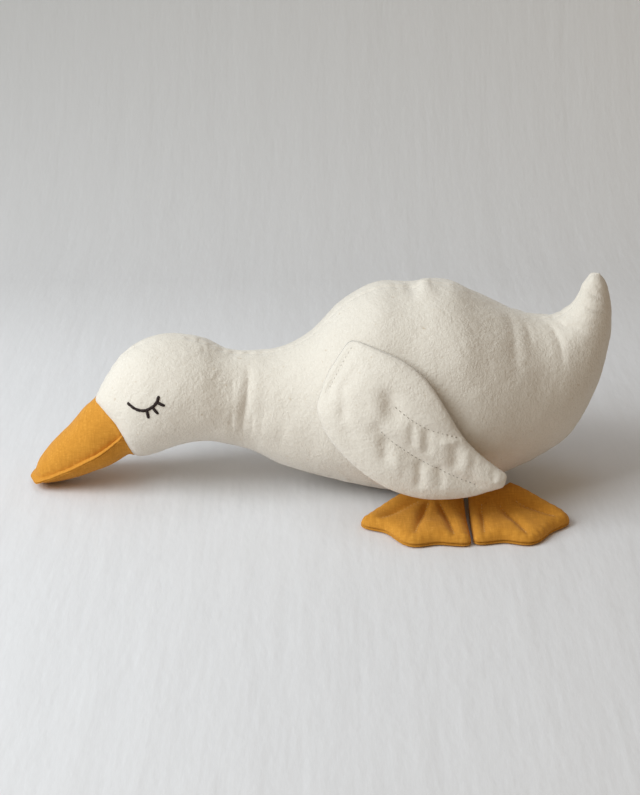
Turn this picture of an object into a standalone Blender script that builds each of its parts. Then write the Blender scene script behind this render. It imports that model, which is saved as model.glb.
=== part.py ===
"""A stuffed cotton duck that lies on its belly, with its neck stretched out and its beak on the floor.

The side profile is drawn by two lines, the back line and the belly line, with a width for each pair of
points. One loft through them gives the sewn skin, its inner side and the stuffing, so the layers nest.
The beak, the wings and the feet take their places from that loft. Metres, +Z up. The origin is on the
floor under the belly, the head points to -X and the feet lie on the -Y side.
"""

import math

import bmesh
import bpy
import numpy as np
from mathutils import Vector

# Cloth and fit
CLOTH = 0.0012
GAP = 0.0003
BELLY_FLAT_DEPTH = 0.0005
CUT_OVERRUN = 0.004

# Head, from the middle of the neck to the beak seam
HEAD_LENGTH = 0.101
HEAD_HEIGHT = 0.107
HEAD_WIDTH = 0.076

# Neck at its middle, where it bends
NECK_PLACE = 0.120
NAPE_HEIGHT = 0.0943
THROAT_HEIGHT = 0.0272
NECK_WIDTH = 0.063

# Torso, from the middle of the neck to the root of the tail
TORSO_LENGTH = 0.190
TORSO_HEIGHT = 0.141
TORSO_WIDTH = 0.130
GUSSET_WIDTH = 0.074
GUSSET_TIP_WIDTH = 0.001

# Tail
TAIL_LENGTH = 0.0475
TAIL_HEIGHT = 0.148
TAIL_WIDTH = 0.072

# Beak, from the middle of its seam with the head to its tip
BEAK_LENGTH = 0.0690
BEAK_TIP_HEIGHT = 0.0053
BEAK_HEIGHT = 0.0442
BEAK_WIDTH = 0.045
LIP_REACH = 0.0018
LIP_THICKNESS = 0.0010
SEAM_DROP_SHARE = 0.27

# Closed eye, raised thread
EYE_WIDTH = 0.0248
EYE_THREAD_WIDTH = 0.0020
EYE_THREAD_HEIGHT = 0.0008

# Wings
WING_LENGTH = 0.1257
WING_WIDTH = 0.078
WING_PADDING = 0.0065
WING_CLEARANCE = 0.0008
WING_STANDOFF = 0.0026
WING_STITCH_REACH = 0.0045

# Feet
FOOT_LENGTH = 0.0602
ANKLE_WIDTH = 0.036
ANKLE_OFFSET = 0.0195
FOOT_PADDING = 0.0058
PADDING_EDGE = 0.0007

# Side profile rows: back line along and up, belly line along and up, and the full width
HEAD_SHARES = (
    (1.000, 0.586, 0.807, 0.213, 0.605),
    (0.947, 0.736, 0.729, 0.201, 0.790),
    (0.848, 0.866, 0.628, 0.231, 0.920),
    (0.700, 0.963, 0.512, 0.272, 0.982),
    (0.505, 1.000, 0.395, 0.308, 1.000),
    (0.313, 0.964, 0.271, 0.320, 0.947),
    (0.153, 0.890, 0.150, 0.299, 0.868),
)
TORSO_SHARES = (
    (0.108, 0.688, 0.088, 0.141, 0.554),
    (0.212, 0.760, 0.195, 0.088, 0.662),
    (0.315, 0.901, 0.302, 0.047, 0.800),
    (0.435, 0.993, 0.427, 0.018, 0.923),
    (0.554, 1.000, 0.570, 0.000, 0.985),
    (0.691, 0.992, 0.714, 0.000, 1.000),
    (0.795, 0.926, 0.813, 0.042, 0.954),
    (0.900, 0.857, 0.918, 0.110, 0.831),
    (0.987, 0.838, 1.020, 0.177, 0.692),
)
TAIL_SHARES = (
    (0.223, 0.812, 0.476, 0.266, 1.000),
    (0.398, 0.849, 0.764, 0.425, 0.750),
    (0.499, 0.897, 0.928, 0.575, 0.556),
    (0.579, 0.956, 0.996, 0.755, 0.375),
    (0.655, 0.990, 0.940, 0.905, 0.230),
    (0.800, 1.000, 0.800, 1.000, 0.000),
)

# Beak rows: top line along and up, bottom line along and down, and the full width
BEAK_SHARES = (
    (0.145, 0.833, 0.199, -0.941, 0.978),
    (0.338, 0.683, 0.377, -0.873, 0.933),
    (0.514, 0.552, 0.546, -0.805, 0.845),
    (0.628, 0.491, 0.664, -0.742, 0.778),
    (0.733, 0.425, 0.780, -0.660, 0.689),
    (0.830, 0.362, 0.870, -0.540, 0.570),
    (0.930, 0.265, 0.950, -0.370, 0.390),
    (1.000, 0.000, 1.000, 0.000, 0.000),
)

# Wing outline in its own plane: along the wing and down across it, from the sewn end to the tip
WING_UPPER_SHARES = (
    (0.000, -0.255),
    (0.075, -0.335),
    (0.200, -0.390),
    (0.330, -0.400),
    (0.460, -0.325),
    (0.590, -0.212),
    (0.725, -0.110),
    (0.870, -0.070),
    (0.985, -0.035),
)
WING_LOWER_SHARES = (
    (0.000, 0.187),
    (0.000, 0.335),
    (0.070, 0.450),
    (0.210, 0.550),
    (0.370, 0.602),
    (0.530, 0.588),
    (0.700, 0.508),
    (0.860, 0.365),
    (1.012, 0.075),
)
WING_STITCH_SHARES = (
    ((0.31, -0.045), (0.47, -0.036), (0.61, -0.073), (0.69, -0.124)),
    ((0.31, 0.183), (0.44, 0.225), (0.62, 0.223), (0.79, 0.196), (0.92, 0.159)),
)
WING_SEAM_SHARES = (0.305, 0.720)
WING_SLOPE = math.radians(31.7)
WING_HUG_SHARE = 0.15
WING_SEAM_SHARE = 0.10
STITCH_DEPTH_SHARE = 0.6

# Foot outline from the inner edge to the outer: turn from the middle toe, reach, and place on the ankle
FOOT_SHARES = (
    (39.0, 0.850, 1.000),
    (35.0, 0.975, 0.360),
    (17.5, 0.925, 0.170),
    (0.0, 1.000, 0.000),
    (-21.0, 0.900, -0.170),
    (-40.0, 0.920, -0.380),
    (-47.0, 0.780, -1.080),
)
FOOT_TURN = math.radians(19.0)
FEET_DIVIDE_SHARE = 0.750
FOOT_FLAT_SHARE = 0.45
TOE_LINE_ROWS = (1, 3, 5)

# Eye: the lid line and its three lashes, across and up from the lid's front end
EYE_PLACE_SHARES = (0.773, 0.706)
LID_SHARES = (
    (0.015, -0.130),
    (0.135, -0.210),
    (0.320, -0.283),
    (0.510, -0.262),
    (0.660, -0.172),
    (0.795, -0.045),
    (0.858, 0.140),
)
LASH_TIP_SHARES = ((0.572, -0.490), (0.835, -0.340), (1.013, -0.108))
LASH_PLACES = (3.15, 4.15, 5.15)
LASH_SPREAD = 0.17
LASH_TIP_SHARE = 0.8
LID_TAPER_SHARE = 0.35

# Where the loft is divided, in rows counted from the beak seam
HEAD_END = 6.2
NECK_MIDDLE = 7.0
TORSO_START = 7.8
GUSSET_START = 8.5
GUSSET_END = 16.5
TAIL_START = 16.0

# Mesh counts
ROWS_PER_STATION = 2
SIDE_COLUMNS = 7
GUSSET_COLUMNS = 4
BEAK_COLUMNS = 9
WING_ROWS = 11
WING_COLUMNS = 8
FOOT_ROWS = 6
FOOT_COLUMNS_PER_SHARE = 2
LID_STEPS = 12

CREAM = (0.787, 0.716, 0.610)
MUSTARD = (0.610, 0.285, 0.055)
THREAD = (0.030, 0.016, 0.013)
WADDING = (0.860, 0.860, 0.840)


def clear_scene():
    for obj in list(bpy.data.objects):
        bpy.data.objects.remove(obj, do_unlink=True)


def material(name, colour, roughness):
    made = bpy.data.materials.new(name)
    made.use_nodes = True
    shader = made.node_tree.nodes["Principled BSDF"]
    shader.inputs["Base Color"].default_value = (*colour, 1)
    shader.inputs["Roughness"].default_value = roughness
    shader.inputs["Metallic"].default_value = 0
    return made


def smooth(rows, place):
    """The rows read between whole numbers, on a curve that passes through each of them."""
    rows = np.asarray(rows, float)
    last = len(rows) - 1
    start = min(int(place), last - 1)
    part = place - start
    before, after = rows[max(start - 1, 0)], rows[min(start + 2, last)]
    near, far = rows[start], rows[start + 1]
    lean_in, lean_out = (far - before) / 2, (after - near) / 2
    if start == 0:
        lean_in = far - near
    if start == last - 1:
        lean_out = far - near
    square, cube = part**2, part**3
    return (
        (2 * cube - 3 * square + 1) * near
        + (cube - 2 * square + part) * lean_in
        + (3 * square - 2 * cube) * far
        + (cube - square) * lean_out
    )


def body_rows():
    """Back line x and z, belly line x and z, and half the width, from the beak seam to the tail tip."""
    rows = []
    for back, up, belly, low, wide in HEAD_SHARES:
        back_x = -NECK_PLACE - back * HEAD_LENGTH
        belly_x = -NECK_PLACE - belly * HEAD_LENGTH
        rows.append((back_x, up * HEAD_HEIGHT, belly_x, low * HEAD_HEIGHT, wide * HEAD_WIDTH / 2))
    rows.append((-NECK_PLACE, NAPE_HEIGHT, -NECK_PLACE, THROAT_HEIGHT, NECK_WIDTH / 2))
    for back, up, belly, low, wide in TORSO_SHARES:
        back_x = -NECK_PLACE + back * TORSO_LENGTH
        belly_x = -NECK_PLACE + belly * TORSO_LENGTH
        low_z = low * TORSO_HEIGHT - BELLY_FLAT_DEPTH
        rows.append((back_x, up * TORSO_HEIGHT, belly_x, low_z, wide * TORSO_WIDTH / 2))
    tail_x = -NECK_PLACE + TORSO_LENGTH
    for back, up, belly, low, wide in TAIL_SHARES:
        back_x = tail_x + back * TAIL_LENGTH
        belly_x = tail_x + belly * TAIL_LENGTH
        rows.append((back_x, up * TAIL_HEIGHT, belly_x, low * TAIL_HEIGHT, wide * TAIL_WIDTH / 2))
    return np.array(rows)


BODY_ROWS = body_rows()
TAIL_TIP = len(BODY_ROWS) - 1


class Section:
    """One oval section of a loft: its middle, its upward direction, half its height and half its width."""

    def __init__(self, rows, place, inset=0.0):
        back_x, back_z, belly_x, belly_z, half_width = smooth(rows, place)
        self.middle = np.array(((back_x + belly_x) / 2, 0.0, (back_z + belly_z) / 2))
        half = np.array(((back_x - belly_x) / 2, 0.0, (back_z - belly_z) / 2))
        half_height = float(np.linalg.norm(half))
        self.up = half / half_height if half_height > 0 else np.array((0.0, 0.0, 1.0))
        self.half_height = self.shrunk(half_height, inset)
        self.half_width = self.shrunk(max(half_width, 0.0), inset)

    @staticmethod
    def shrunk(size, inset):
        """Thin ends keep a third of their size where the cloth is thicker than they are."""
        return max(size - inset, size / 3)

    def point(self, across, rise):
        """A point from its place across, in metres, and its rise as a share of half the height."""
        return self.middle + np.array((0.0, across, 0.0)) + self.up * (rise * self.half_height)


def gusset_half_width(place):
    """Half the width of the belly panel, a spindle that starts behind the neck and ends under the tail."""
    if not GUSSET_START <= place <= GUSSET_END:
        return 0.0
    along = (place - GUSSET_START) / (GUSSET_END - GUSSET_START)
    swell = max(math.sin(math.pi * along), 0.0) ** 0.45
    return GUSSET_TIP_WIDTH / 2 + swell * (GUSSET_WIDTH - GUSSET_TIP_WIDTH) / 2


def places(start, end):
    """Section places from start to end, with each whole row among them."""
    inner = [k / ROWS_PER_STATION for k in range(TAIL_TIP * ROWS_PER_STATION + 1)]
    margin = 0.3 / ROWS_PER_STATION
    return [start] + [k for k in inner if start + margin < k < end - margin] + [end]


def side_column(place, inset, side):
    """Points of one section from the back seam down one side to the belly seam."""
    section = Section(BODY_ROWS, place, inset)
    reach = max(section.half_width - GAP / 2, 0.0)
    seam = gusset_half_width(place)
    last_angle = -math.acos(min(seam / reach, 1.0)) if reach > 0 else -math.pi / 2
    points = []
    for k in range(SIDE_COLUMNS + 1):
        angle = math.pi / 2 + (last_angle - math.pi / 2) * k / SIDE_COLUMNS
        across = GAP / 2 + reach * math.cos(angle)
        points.append(section.point(side * across, math.sin(angle)))
    return points


def belly_column(place, inset):
    """Points of one section across the belly panel, from the -Y seam to the +Y seam."""
    section = Section(BODY_ROWS, place, inset)
    reach = max(section.half_width - GAP / 2, 0.0)
    edge = math.asin(min(gusset_half_width(place) / reach, 1.0))
    points = []
    for k in range(GUSSET_COLUMNS + 1):
        angle = edge * (2 * k / GUSSET_COLUMNS - 1)
        across = reach * math.sin(angle)
        across -= math.copysign(min(GAP / 2, abs(across)), across)
        points.append(section.point(across, -math.cos(angle)))
    return points


def whole_ring(place, inset):
    """A closed ring of one section, with the same corners as the panels round it."""
    left = side_column(place, inset, -1)
    right = side_column(place, inset, 1)
    if gusset_half_width(place) > 0:
        under = belly_column(place, inset)[1:-1]
    else:
        under = [(left[-1] + right[-1]) / 2] * (GUSSET_COLUMNS - 1)
    return left + under + right[::-1]


def add_grid(bm, grid, wrap=False):
    """Vertices for a grid of points, and its triangles, all cut along the same diagonal."""
    verts = [[bm.verts.new(point) for point in row] for row in grid]
    columns = len(verts[0])
    for low, high in zip(verts, verts[1:]):
        for k in range(columns if wrap else columns - 1):
            after = (k + 1) % columns
            bm.faces.new((low[k], low[after], high[after]))
            bm.faces.new((low[k], high[after], high[k]))
    return verts


def add_wall(bm, first, second, wrap=False):
    """A strip of triangles between two rows of vertices."""
    count = len(first)
    for k in range(count if wrap else count - 1):
        after = (k + 1) % count
        bm.faces.new((first[k], first[after], second[after]))
        bm.faces.new((first[k], second[after], second[k]))


def finish(name, bm, look):
    """Turns the faces outward and makes the object, shaded smooth."""
    bmesh.ops.remove_doubles(bm, verts=bm.verts, dist=1e-7)
    bmesh.ops.recalc_face_normals(bm, faces=bm.faces)
    mesh = bpy.data.meshes.new(name)
    bm.to_mesh(mesh)
    bm.free()
    mesh.materials.append(look)
    mesh.shade_smooth()
    obj = bpy.data.objects.new(name, mesh)
    bpy.context.scene.collection.objects.link(obj)
    return obj


def panel(name, outer, inner, look):
    """A closed sheet between an outer and an inner grid of the same shape."""
    bm = bmesh.new()
    outside = add_grid(bm, outer)
    inside = add_grid(bm, inner)
    add_wall(bm, outside[0], inside[0])
    add_wall(bm, outside[-1], inside[-1])
    add_wall(bm, [row[0] for row in outside], [row[0] for row in inside])
    add_wall(bm, [row[-1] for row in outside], [row[-1] for row in inside])
    return finish(name, bm, look)


def tube(name, outer, inner, look):
    """A closed sleeve between an outer and an inner set of rings."""
    bm = bmesh.new()
    outside = add_grid(bm, outer, wrap=True)
    inside = add_grid(bm, inner, wrap=True)
    add_wall(bm, outside[0], inside[0], wrap=True)
    add_wall(bm, outside[-1], inside[-1], wrap=True)
    return finish(name, bm, look)


def stuffing(name, rings, look):
    """A filled form through rings, with a flat cap on each end."""
    bm = bmesh.new()
    verts = add_grid(bm, rings, wrap=True)
    for ring in (verts[0], verts[-1]):
        middle = bm.verts.new(sum((v.co for v in ring), Vector()) / len(ring))
        for k, vert in enumerate(ring):
            bm.faces.new((vert, ring[(k + 1) % len(ring)], middle))
    return finish(name, bm, look)


def inset_place(place, toward):
    """A section place moved toward another by about the gap between two sewn pieces."""
    here = Section(BODY_ROWS, place).middle
    step = (toward - place) / 10
    run = float(np.linalg.norm(Section(BODY_ROWS, place + step).middle - here))
    return place + step * (GAP / 2) / run


def side_panels(prefix, start, end, look):
    """The two side panels of a stretch of the body, one each side of the back seam."""
    first, last = inset_place(start, end), end
    if end < TAIL_TIP:
        last = inset_place(end, start)
    stops = places(first, last)
    for side, word in ((-1, "left"), (1, "right")):
        # The same order round the body as the whole rings, so that both are cut along the same diagonals.
        outer = [side_column(place, 0.0, side)[::-side] for place in stops]
        inner = [side_column(place, CLOTH, side)[::-side] for place in stops]
        panel(f"{prefix}_side_{word}", outer, inner, look)


def belly_gusset(look, floor):
    """The belly panel, cut flat where the duck rests on it."""
    stops = places(GUSSET_START, GUSSET_END)
    outer = [belly_column(place, 0.0) for place in stops]
    inner = [belly_column(place, CLOTH) for place in stops]
    cut_flat(panel("belly_gusset", outer, inner, look), floor)


def body_stuffing(name, start, end, look):
    """Stuffing inside a stretch of the body, clear of the cloth and of the next stuffing."""
    first = inset_place(start, end)
    last = inset_place(end, start)
    rings = [whole_ring(place, CLOTH + GAP) for place in places(first, last)]
    stuffing(name, rings, look)


def neck_sleeve(look):
    """The stretch of skin that bends with the neck."""
    stops = places(inset_place(HEAD_END, TORSO_START), inset_place(TORSO_START, HEAD_END))
    outer = [whole_ring(place, 0.0) for place in stops]
    inner = [whole_ring(place, CLOTH) for place in stops]
    tube("neck_skin", outer, inner, look)


def floor_cutter():
    """A block under the floor, whose top is the floor."""
    reach = HEAD_LENGTH + BEAK_LENGTH + TORSO_LENGTH
    bm = bmesh.new()
    bmesh.ops.create_cube(bm, size=1)
    mesh = bpy.data.meshes.new("floor_cutter")
    bm.to_mesh(mesh)
    bm.free()
    cutter = bpy.data.objects.new("floor_cutter", mesh)
    cutter.scale = (2 * reach, 2 * TORSO_WIDTH, CUT_OVERRUN)
    cutter.location = (0, 0, -CUT_OVERRUN / 2)
    cutter.hide_render = True
    cutter.display_type = "WIRE"
    bpy.context.scene.collection.objects.link(cutter)
    return cutter


def cut_flat(obj, floor):
    cut = obj.modifiers.new("flat on the floor", "BOOLEAN")
    cut.operation = "DIFFERENCE"
    cut.solver = "EXACT"
    cut.object = floor


def beak_frame():
    """The beak's base middle, the direction to its tip, and the direction up across it."""
    base = Section(BODY_ROWS, 0.0).middle
    fall = base[2] - BEAK_TIP_HEIGHT
    run = math.sqrt(BEAK_LENGTH**2 - fall**2)
    along = np.array((-run, 0.0, -fall)) / BEAK_LENGTH
    up = np.array((along[2], 0.0, -along[0]))
    return base, along, up


def beak_rows():
    """Beak profile rows in the same form as the body's, starting from the head's own front section."""
    base, along, up = beak_frame()
    back_x, back_z, belly_x, belly_z, half_width = BODY_ROWS[0]
    rows = [(back_x, back_z, belly_x, belly_z, half_width)]
    for top_along, top, low_along, low, wide in BEAK_SHARES:
        high = base + along * (top_along * BEAK_LENGTH) + up * (top * BEAK_HEIGHT / 2)
        under = base + along * (low_along * BEAK_LENGTH) + up * (low * BEAK_HEIGHT / 2)
        rows.append((high[0], high[2], under[0], under[2], wide * BEAK_WIDTH / 2))
    return np.array(rows)


def beak_stops(rows):
    tip = len(rows) - 1
    step = 1 / ROWS_PER_STATION
    first = GAP / float(np.linalg.norm(Section(rows, 1).middle - Section(rows, 0).middle))
    return [first] + [k * step for k in range(1, tip * ROWS_PER_STATION + 1)]


def lip_outward(rows, place):
    """The direction out of the beak's rim, in the plane of the rim: forward and sideways shares."""
    tip = len(rows) - 1
    step = 1 / ROWS_PER_STATION
    near, far = Section(rows, max(place - step, 0)), Section(rows, min(place + step, tip))
    run = float(np.linalg.norm(far.middle - near.middle))
    narrowing = near.half_width - far.half_width
    length = math.hypot(run, narrowing)
    return narrowing / length, run / length


def beak_turns(rows, place, rise):
    """Angles round one half of the beak from its -Y seam to its +Y seam. The seams lie below the middle of
    the section at the base and rise to it at the tip, so the upper half is the larger."""
    start = -rise * math.asin(SEAM_DROP_SHARE) * (1 - place / (len(rows) - 1))
    return [start + (math.pi - 2 * start) * k / BEAK_COLUMNS for k in range(BEAK_COLUMNS + 1)]


def beak_points(section, turns, rise):
    """Points of one half of a beak section at the given angles."""
    return [section.point(-section.half_width * math.cos(t), rise * math.sin(t)) for t in turns]


def beak_shell(name, rows, rise, look):
    """One half of the beak with its pressed lip: rise is 1 for the upper half and -1 for the lower."""
    forward = beak_frame()[1]
    outer, inner = [], []
    for place in beak_stops(rows):
        section, lining = Section(rows, place), Section(rows, place, CLOTH)
        ahead, aside = lip_outward(rows, place)
        turns = beak_turns(rows, place, rise)
        upright = section.up * rise
        foot = min(LIP_THICKNESS + GAP / 2, section.half_height * 0.9)
        first = math.asin(foot / section.half_height) if section.half_height > 0 else 0.0
        share = 1 - 2 * first / (turns[-1] - turns[0])
        raised = [math.pi / 2 + (t - math.pi / 2) * share for t in turns]
        top_row = beak_points(section, raised, rise)
        low_row = [point + upright * (GAP / 2) for point in beak_points(lining, turns, rise)]
        seam = section.point(0.0, rise * math.sin(turns[0])) + forward * (ahead * LIP_REACH)
        seam_out = section.half_width * math.cos(turns[0]) + aside * LIP_REACH
        ends = [seam + np.array((0.0, side * seam_out, 0.0)) for side in (-1, 1)]
        tops = [end + upright * (LIP_THICKNESS + GAP / 2) for end in ends]
        lows = [end + upright * (GAP / 2) for end in ends]
        outer.append([tops[0]] + top_row + [tops[1]])
        inner.append([lows[0]] + low_row + [lows[1]])
    return panel(name, outer, inner, look)


def beak_stuffing(rows, look):
    """Stuffing of the beak, with the same corners as the inner side of its two halves."""
    rings = []
    for place in beak_stops(rows)[:-2]:
        core = Section(rows, place, CLOTH + GAP)
        above = beak_points(core, beak_turns(rows, place, 1), 1)
        below = beak_points(core, beak_turns(rows, place, -1)[1:-1], -1)
        rings.append(above + below[::-1])
    stuffing("beak_stuffing", rings, look)


def section_at(x, z, start, end):
    """The body section between two places whose plane passes through a point of the side view."""
    for _ in range(30):
        half = (start + end) / 2
        section = Section(BODY_ROWS, half)
        offset = np.array((x, 0.0, z)) - section.middle
        ahead = offset[0] * section.up[2] - offset[2] * section.up[0]
        if ahead > 0:
            start = half
        else:
            end = half
    return Section(BODY_ROWS, (start + end) / 2)


def side_reach(x, z, start, end, hug_share=1.0):
    """How far the body reaches sideways at a point of the side view. Below its widest level a hanging
    piece follows only a share of the body's retreat."""
    section = section_at(x, z, start, end)
    rise = float(np.dot(np.array((x, 0.0, z)) - section.middle, section.up)) / section.half_height
    reach = section.half_width * math.sqrt(max(1 - rise**2, 0.0))
    if rise < 0:
        reach = section.half_width - hug_share * (section.half_width - reach)
    return reach


def lid_edge(place, side):
    """One edge of the lid's thread, tapered at its front end, in metres from there."""
    last = len(LID_SHARES) - 1
    near = smooth(LID_SHARES, max(place - LASH_SPREAD, 0.0))
    far = smooth(LID_SHARES, min(place + LASH_SPREAD, last))
    run = (far - near) / np.linalg.norm(far - near)
    taper = min(LID_TAPER_SHARE + place, 1.0)
    aside = np.array((-run[1], run[0])) * (side * taper * EYE_THREAD_WIDTH / 2)
    return smooth(LID_SHARES, place) * EYE_WIDTH + aside


def lash_tip(place, tip):
    """The two corners at the end of a lash, the front one first."""
    end = np.array(tip) * EYE_WIDTH
    run = end - smooth(LID_SHARES, place) * EYE_WIDTH
    run /= np.linalg.norm(run)
    aside = np.array((run[1], -run[0])) * (LASH_TIP_SHARE * EYE_THREAD_WIDTH / 2)
    if np.dot(aside, lid_edge(place - LASH_SPREAD, -1) - lid_edge(place + LASH_SPREAD, -1)) < 0:
        aside = -aside
    return [end + aside, end - aside]


def eye_plan():
    """The closed eye drawn flat: its points, its triangles and the order of the points round its rim."""
    steps = [k * (len(LID_SHARES) - 1) / LID_STEPS for k in range(LID_STEPS + 1)]
    stops = [k for k in steps if all(abs(k - place) > 1.5 * LASH_SPREAD for place in LASH_PLACES)]
    fronts = [place - LASH_SPREAD for place in LASH_PLACES]
    stops = sorted(stops + fronts + [place + LASH_SPREAD for place in LASH_PLACES])
    count = len(stops)
    points = [lid_edge(k, 1) for k in stops] + [lid_edge(k, -1) for k in stops]
    faces, rim = [], list(range(count))[::-1]
    for k in range(count):
        rim.append(count + k)
        if k + 1 < count:
            faces += [(k, k + 1, count + k + 1), (k, count + k + 1, count + k)]
        if stops[k] in fronts:
            lash = fronts.index(stops[k])
            tip = len(points)
            points += lash_tip(LASH_PLACES[lash], LASH_TIP_SHARES[lash])
            faces += [(count + k, count + k + 1, tip + 1), (count + k, tip + 1, tip)]
            rim += [tip, tip + 1]
    return points, faces, rim


def eye(name, side, look):
    """The closed eye as raised thread on the side of the head."""
    start_x = -NECK_PLACE - EYE_PLACE_SHARES[0] * HEAD_LENGTH
    start_z = EYE_PLACE_SHARES[1] * HEAD_HEIGHT
    points, faces, rim = eye_plan()
    bm = bmesh.new()
    layers = []
    for lift in (GAP, GAP + EYE_THREAD_HEIGHT):
        verts = []
        for across, up in points:
            x, z = start_x + across, start_z + up
            y = side * (side_reach(x, z, 0.0, HEAD_END) + lift)
            verts.append(bm.verts.new((x, y, z)))
        for face in faces:
            bm.faces.new([verts[k] for k in face])
        layers.append([verts[k] for k in rim])
    add_wall(bm, layers[0], layers[1], wrap=True)
    finish(name, bm, look)


def padded_piece(names, place, padding, looks):
    """Three nested layers of a padded flap: lining, wadding and outer cloth.

    place gives a point from a row, a column and a height over the flap's inner side. padding holds the
    wadding's thickness at each row and column, and is zero along the edges, where the cloths meet.
    """
    rows, columns = padding.shape
    seat = CLOTH + GAP

    def layer(height, row_range, column_range):
        return [[place(i, j, height(i, j)) for j in column_range] for i in row_range]

    every = (range(rows), range(columns))
    inside = (range(1, rows - 1), range(1, columns - 1))
    lining = (layer(lambda i, j: CLOTH, *every), layer(lambda i, j: 0.0, *every))
    wadding = (layer(lambda i, j: seat + padding[i, j], *inside), layer(lambda i, j: seat, *inside))

    def under(i, j):
        return seat + (padding[i, j] + GAP if padding[i, j] > 0 else 0.0)

    outer = (layer(lambda i, j: under(i, j) + CLOTH, *every), layer(under, *every))
    for name, grids, look in zip(names, (outer, lining, wadding), looks):
        panel(name, grids[0], grids[1], look)


def distance_to_line(point, line):
    """The least distance from a point to a run of straight stretches."""
    least = math.inf
    for start, end in zip(line, line[1:]):
        run = end - start
        share = min(max(float(np.dot(point - start, run) / np.dot(run, run)), 0.0), 1.0)
        least = min(least, float(np.linalg.norm(point - start - run * share)))
    return least


def wing_point(i, j):
    """Along and down in the wing's own plane, in metres."""
    last = len(WING_UPPER_SHARES) - 1
    upper = smooth(WING_UPPER_SHARES, last * i / WING_ROWS)
    lower = smooth(WING_LOWER_SHARES, last * i / WING_ROWS)
    shares = upper + (lower - upper) * (j / WING_COLUMNS)
    return shares * np.array((WING_LENGTH, WING_WIDTH))


def wing_side_view(point):
    """The x and z of a point in the wing's plane."""
    x = -NECK_PLACE + WING_SEAM_SHARES[0] * TORSO_LENGTH
    z = WING_SEAM_SHARES[1] * TORSO_HEIGHT
    along, down = point
    x += along * math.cos(WING_SLOPE) - down * math.sin(WING_SLOPE)
    z -= along * math.sin(WING_SLOPE) + down * math.cos(WING_SLOPE)
    return x, z


def wing_inner_reach(point):
    """How far out the wing's lining lies: on the flank, straight on where the body narrows, and a little
    off it past the ends of the seam, so that the corners swing free."""
    x, z = wing_side_view(point)
    widest = smooth(BODY_ROWS, TORSO_WIDEST)
    flank_x = min(x, (widest[0] + widest[2]) / 2)
    reach = side_reach(flank_x, z, TORSO_START, TAIL_START, WING_HUG_SHARE)
    share = min(max(point[0] / (WING_SEAM_SHARE * WING_LENGTH), 0.0), 1.0)
    down = point[1] / WING_WIDTH
    past = max(WING_UPPER_SHARES[0][1] - down, down - WING_LOWER_SHARES[0][1], 0.0)
    standoff = WING_STANDOFF * (1 - math.exp(-past / WING_SEAM_SHARE))
    return reach + standoff + GAP + (WING_CLEARANCE - GAP) * share


def wing_padding():
    """Wadding thickness, full in the middle, thin at the edges and drawn in along the stitch lines."""
    scale = np.array((WING_LENGTH, WING_WIDTH))
    lines = [[np.array(point) * scale for point in line] for line in WING_STITCH_SHARES]
    padding = np.zeros((WING_ROWS + 1, WING_COLUMNS + 1))
    for i in range(1, WING_ROWS):
        for j in range(1, WING_COLUMNS):
            ends = math.sin(math.pi * i / WING_ROWS) ** 0.5
            sides = math.sin(math.pi * j / WING_COLUMNS) ** 0.6
            point = wing_point(i, j)
            drawn = 1.0
            for line in lines:
                near = distance_to_line(point, line) / WING_STITCH_REACH
                drawn -= STITCH_DEPTH_SHARE * math.exp(-(near**2))
            padding[i, j] = PADDING_EDGE + WING_PADDING * ends * sides * max(drawn, 0.1)
    return padding


def wing(word, side, cream, wadding):
    """One wing, sewn to the flank along its front end and free elsewhere."""

    def place(i, j, height):
        point = wing_point(i, j)
        x, z = wing_side_view(point)
        return np.array((x, side * (wing_inner_reach(point) + height), z))

    names = [f"{word}_wing_{layer}" for layer in ("outer", "lining", "wadding")]
    padded_piece(names, place, wing_padding(), (cream, cream, wadding))
    # The seam curves with the flank. The wing folds on the straight line along its middle, which lies in
    # the flank's cloth just ahead of the seam.
    run = place(0, WING_COLUMNS, 0.0) - place(0, 0, 0.0)
    ahead = np.array((-math.cos(WING_SLOPE), 0.0, math.sin(WING_SLOPE)))
    spot = place(0, WING_COLUMNS // 2, -GAP) + ahead * GAP
    hinge_empty(f"{word}_wing_seam", spot, names)
    print(word, "wing folds at", spot.round(5), "along", (run / np.linalg.norm(run)).round(4))


def hinge_empty(name, spot, children):
    """An empty on a joint's axis, which carries the pieces that turn about it."""
    empty = bpy.data.objects.new(name, None)
    empty.location = spot
    bpy.context.scene.collection.objects.link(empty)
    bpy.context.view_layer.update()
    for child in children:
        obj = bpy.data.objects[child]
        obj.parent = empty
        obj.matrix_parent_inverse = empty.matrix_world.inverted()


def foot_shares(place):
    """Turn, reach and ankle place of the foot's outline, read between its rows."""
    return smooth(FOOT_SHARES, place)


def ankle(x):
    """The point of the belly seam above a foot: how far out, and how high."""
    start, end = GUSSET_START, GUSSET_END
    for _ in range(30):
        half = (start + end) / 2
        if belly_column(half, 0.0)[0][0] < x:
            start = half
        else:
            end = half
    point = belly_column(start, 0.0)[0]
    return -point[1], point[2]


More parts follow.
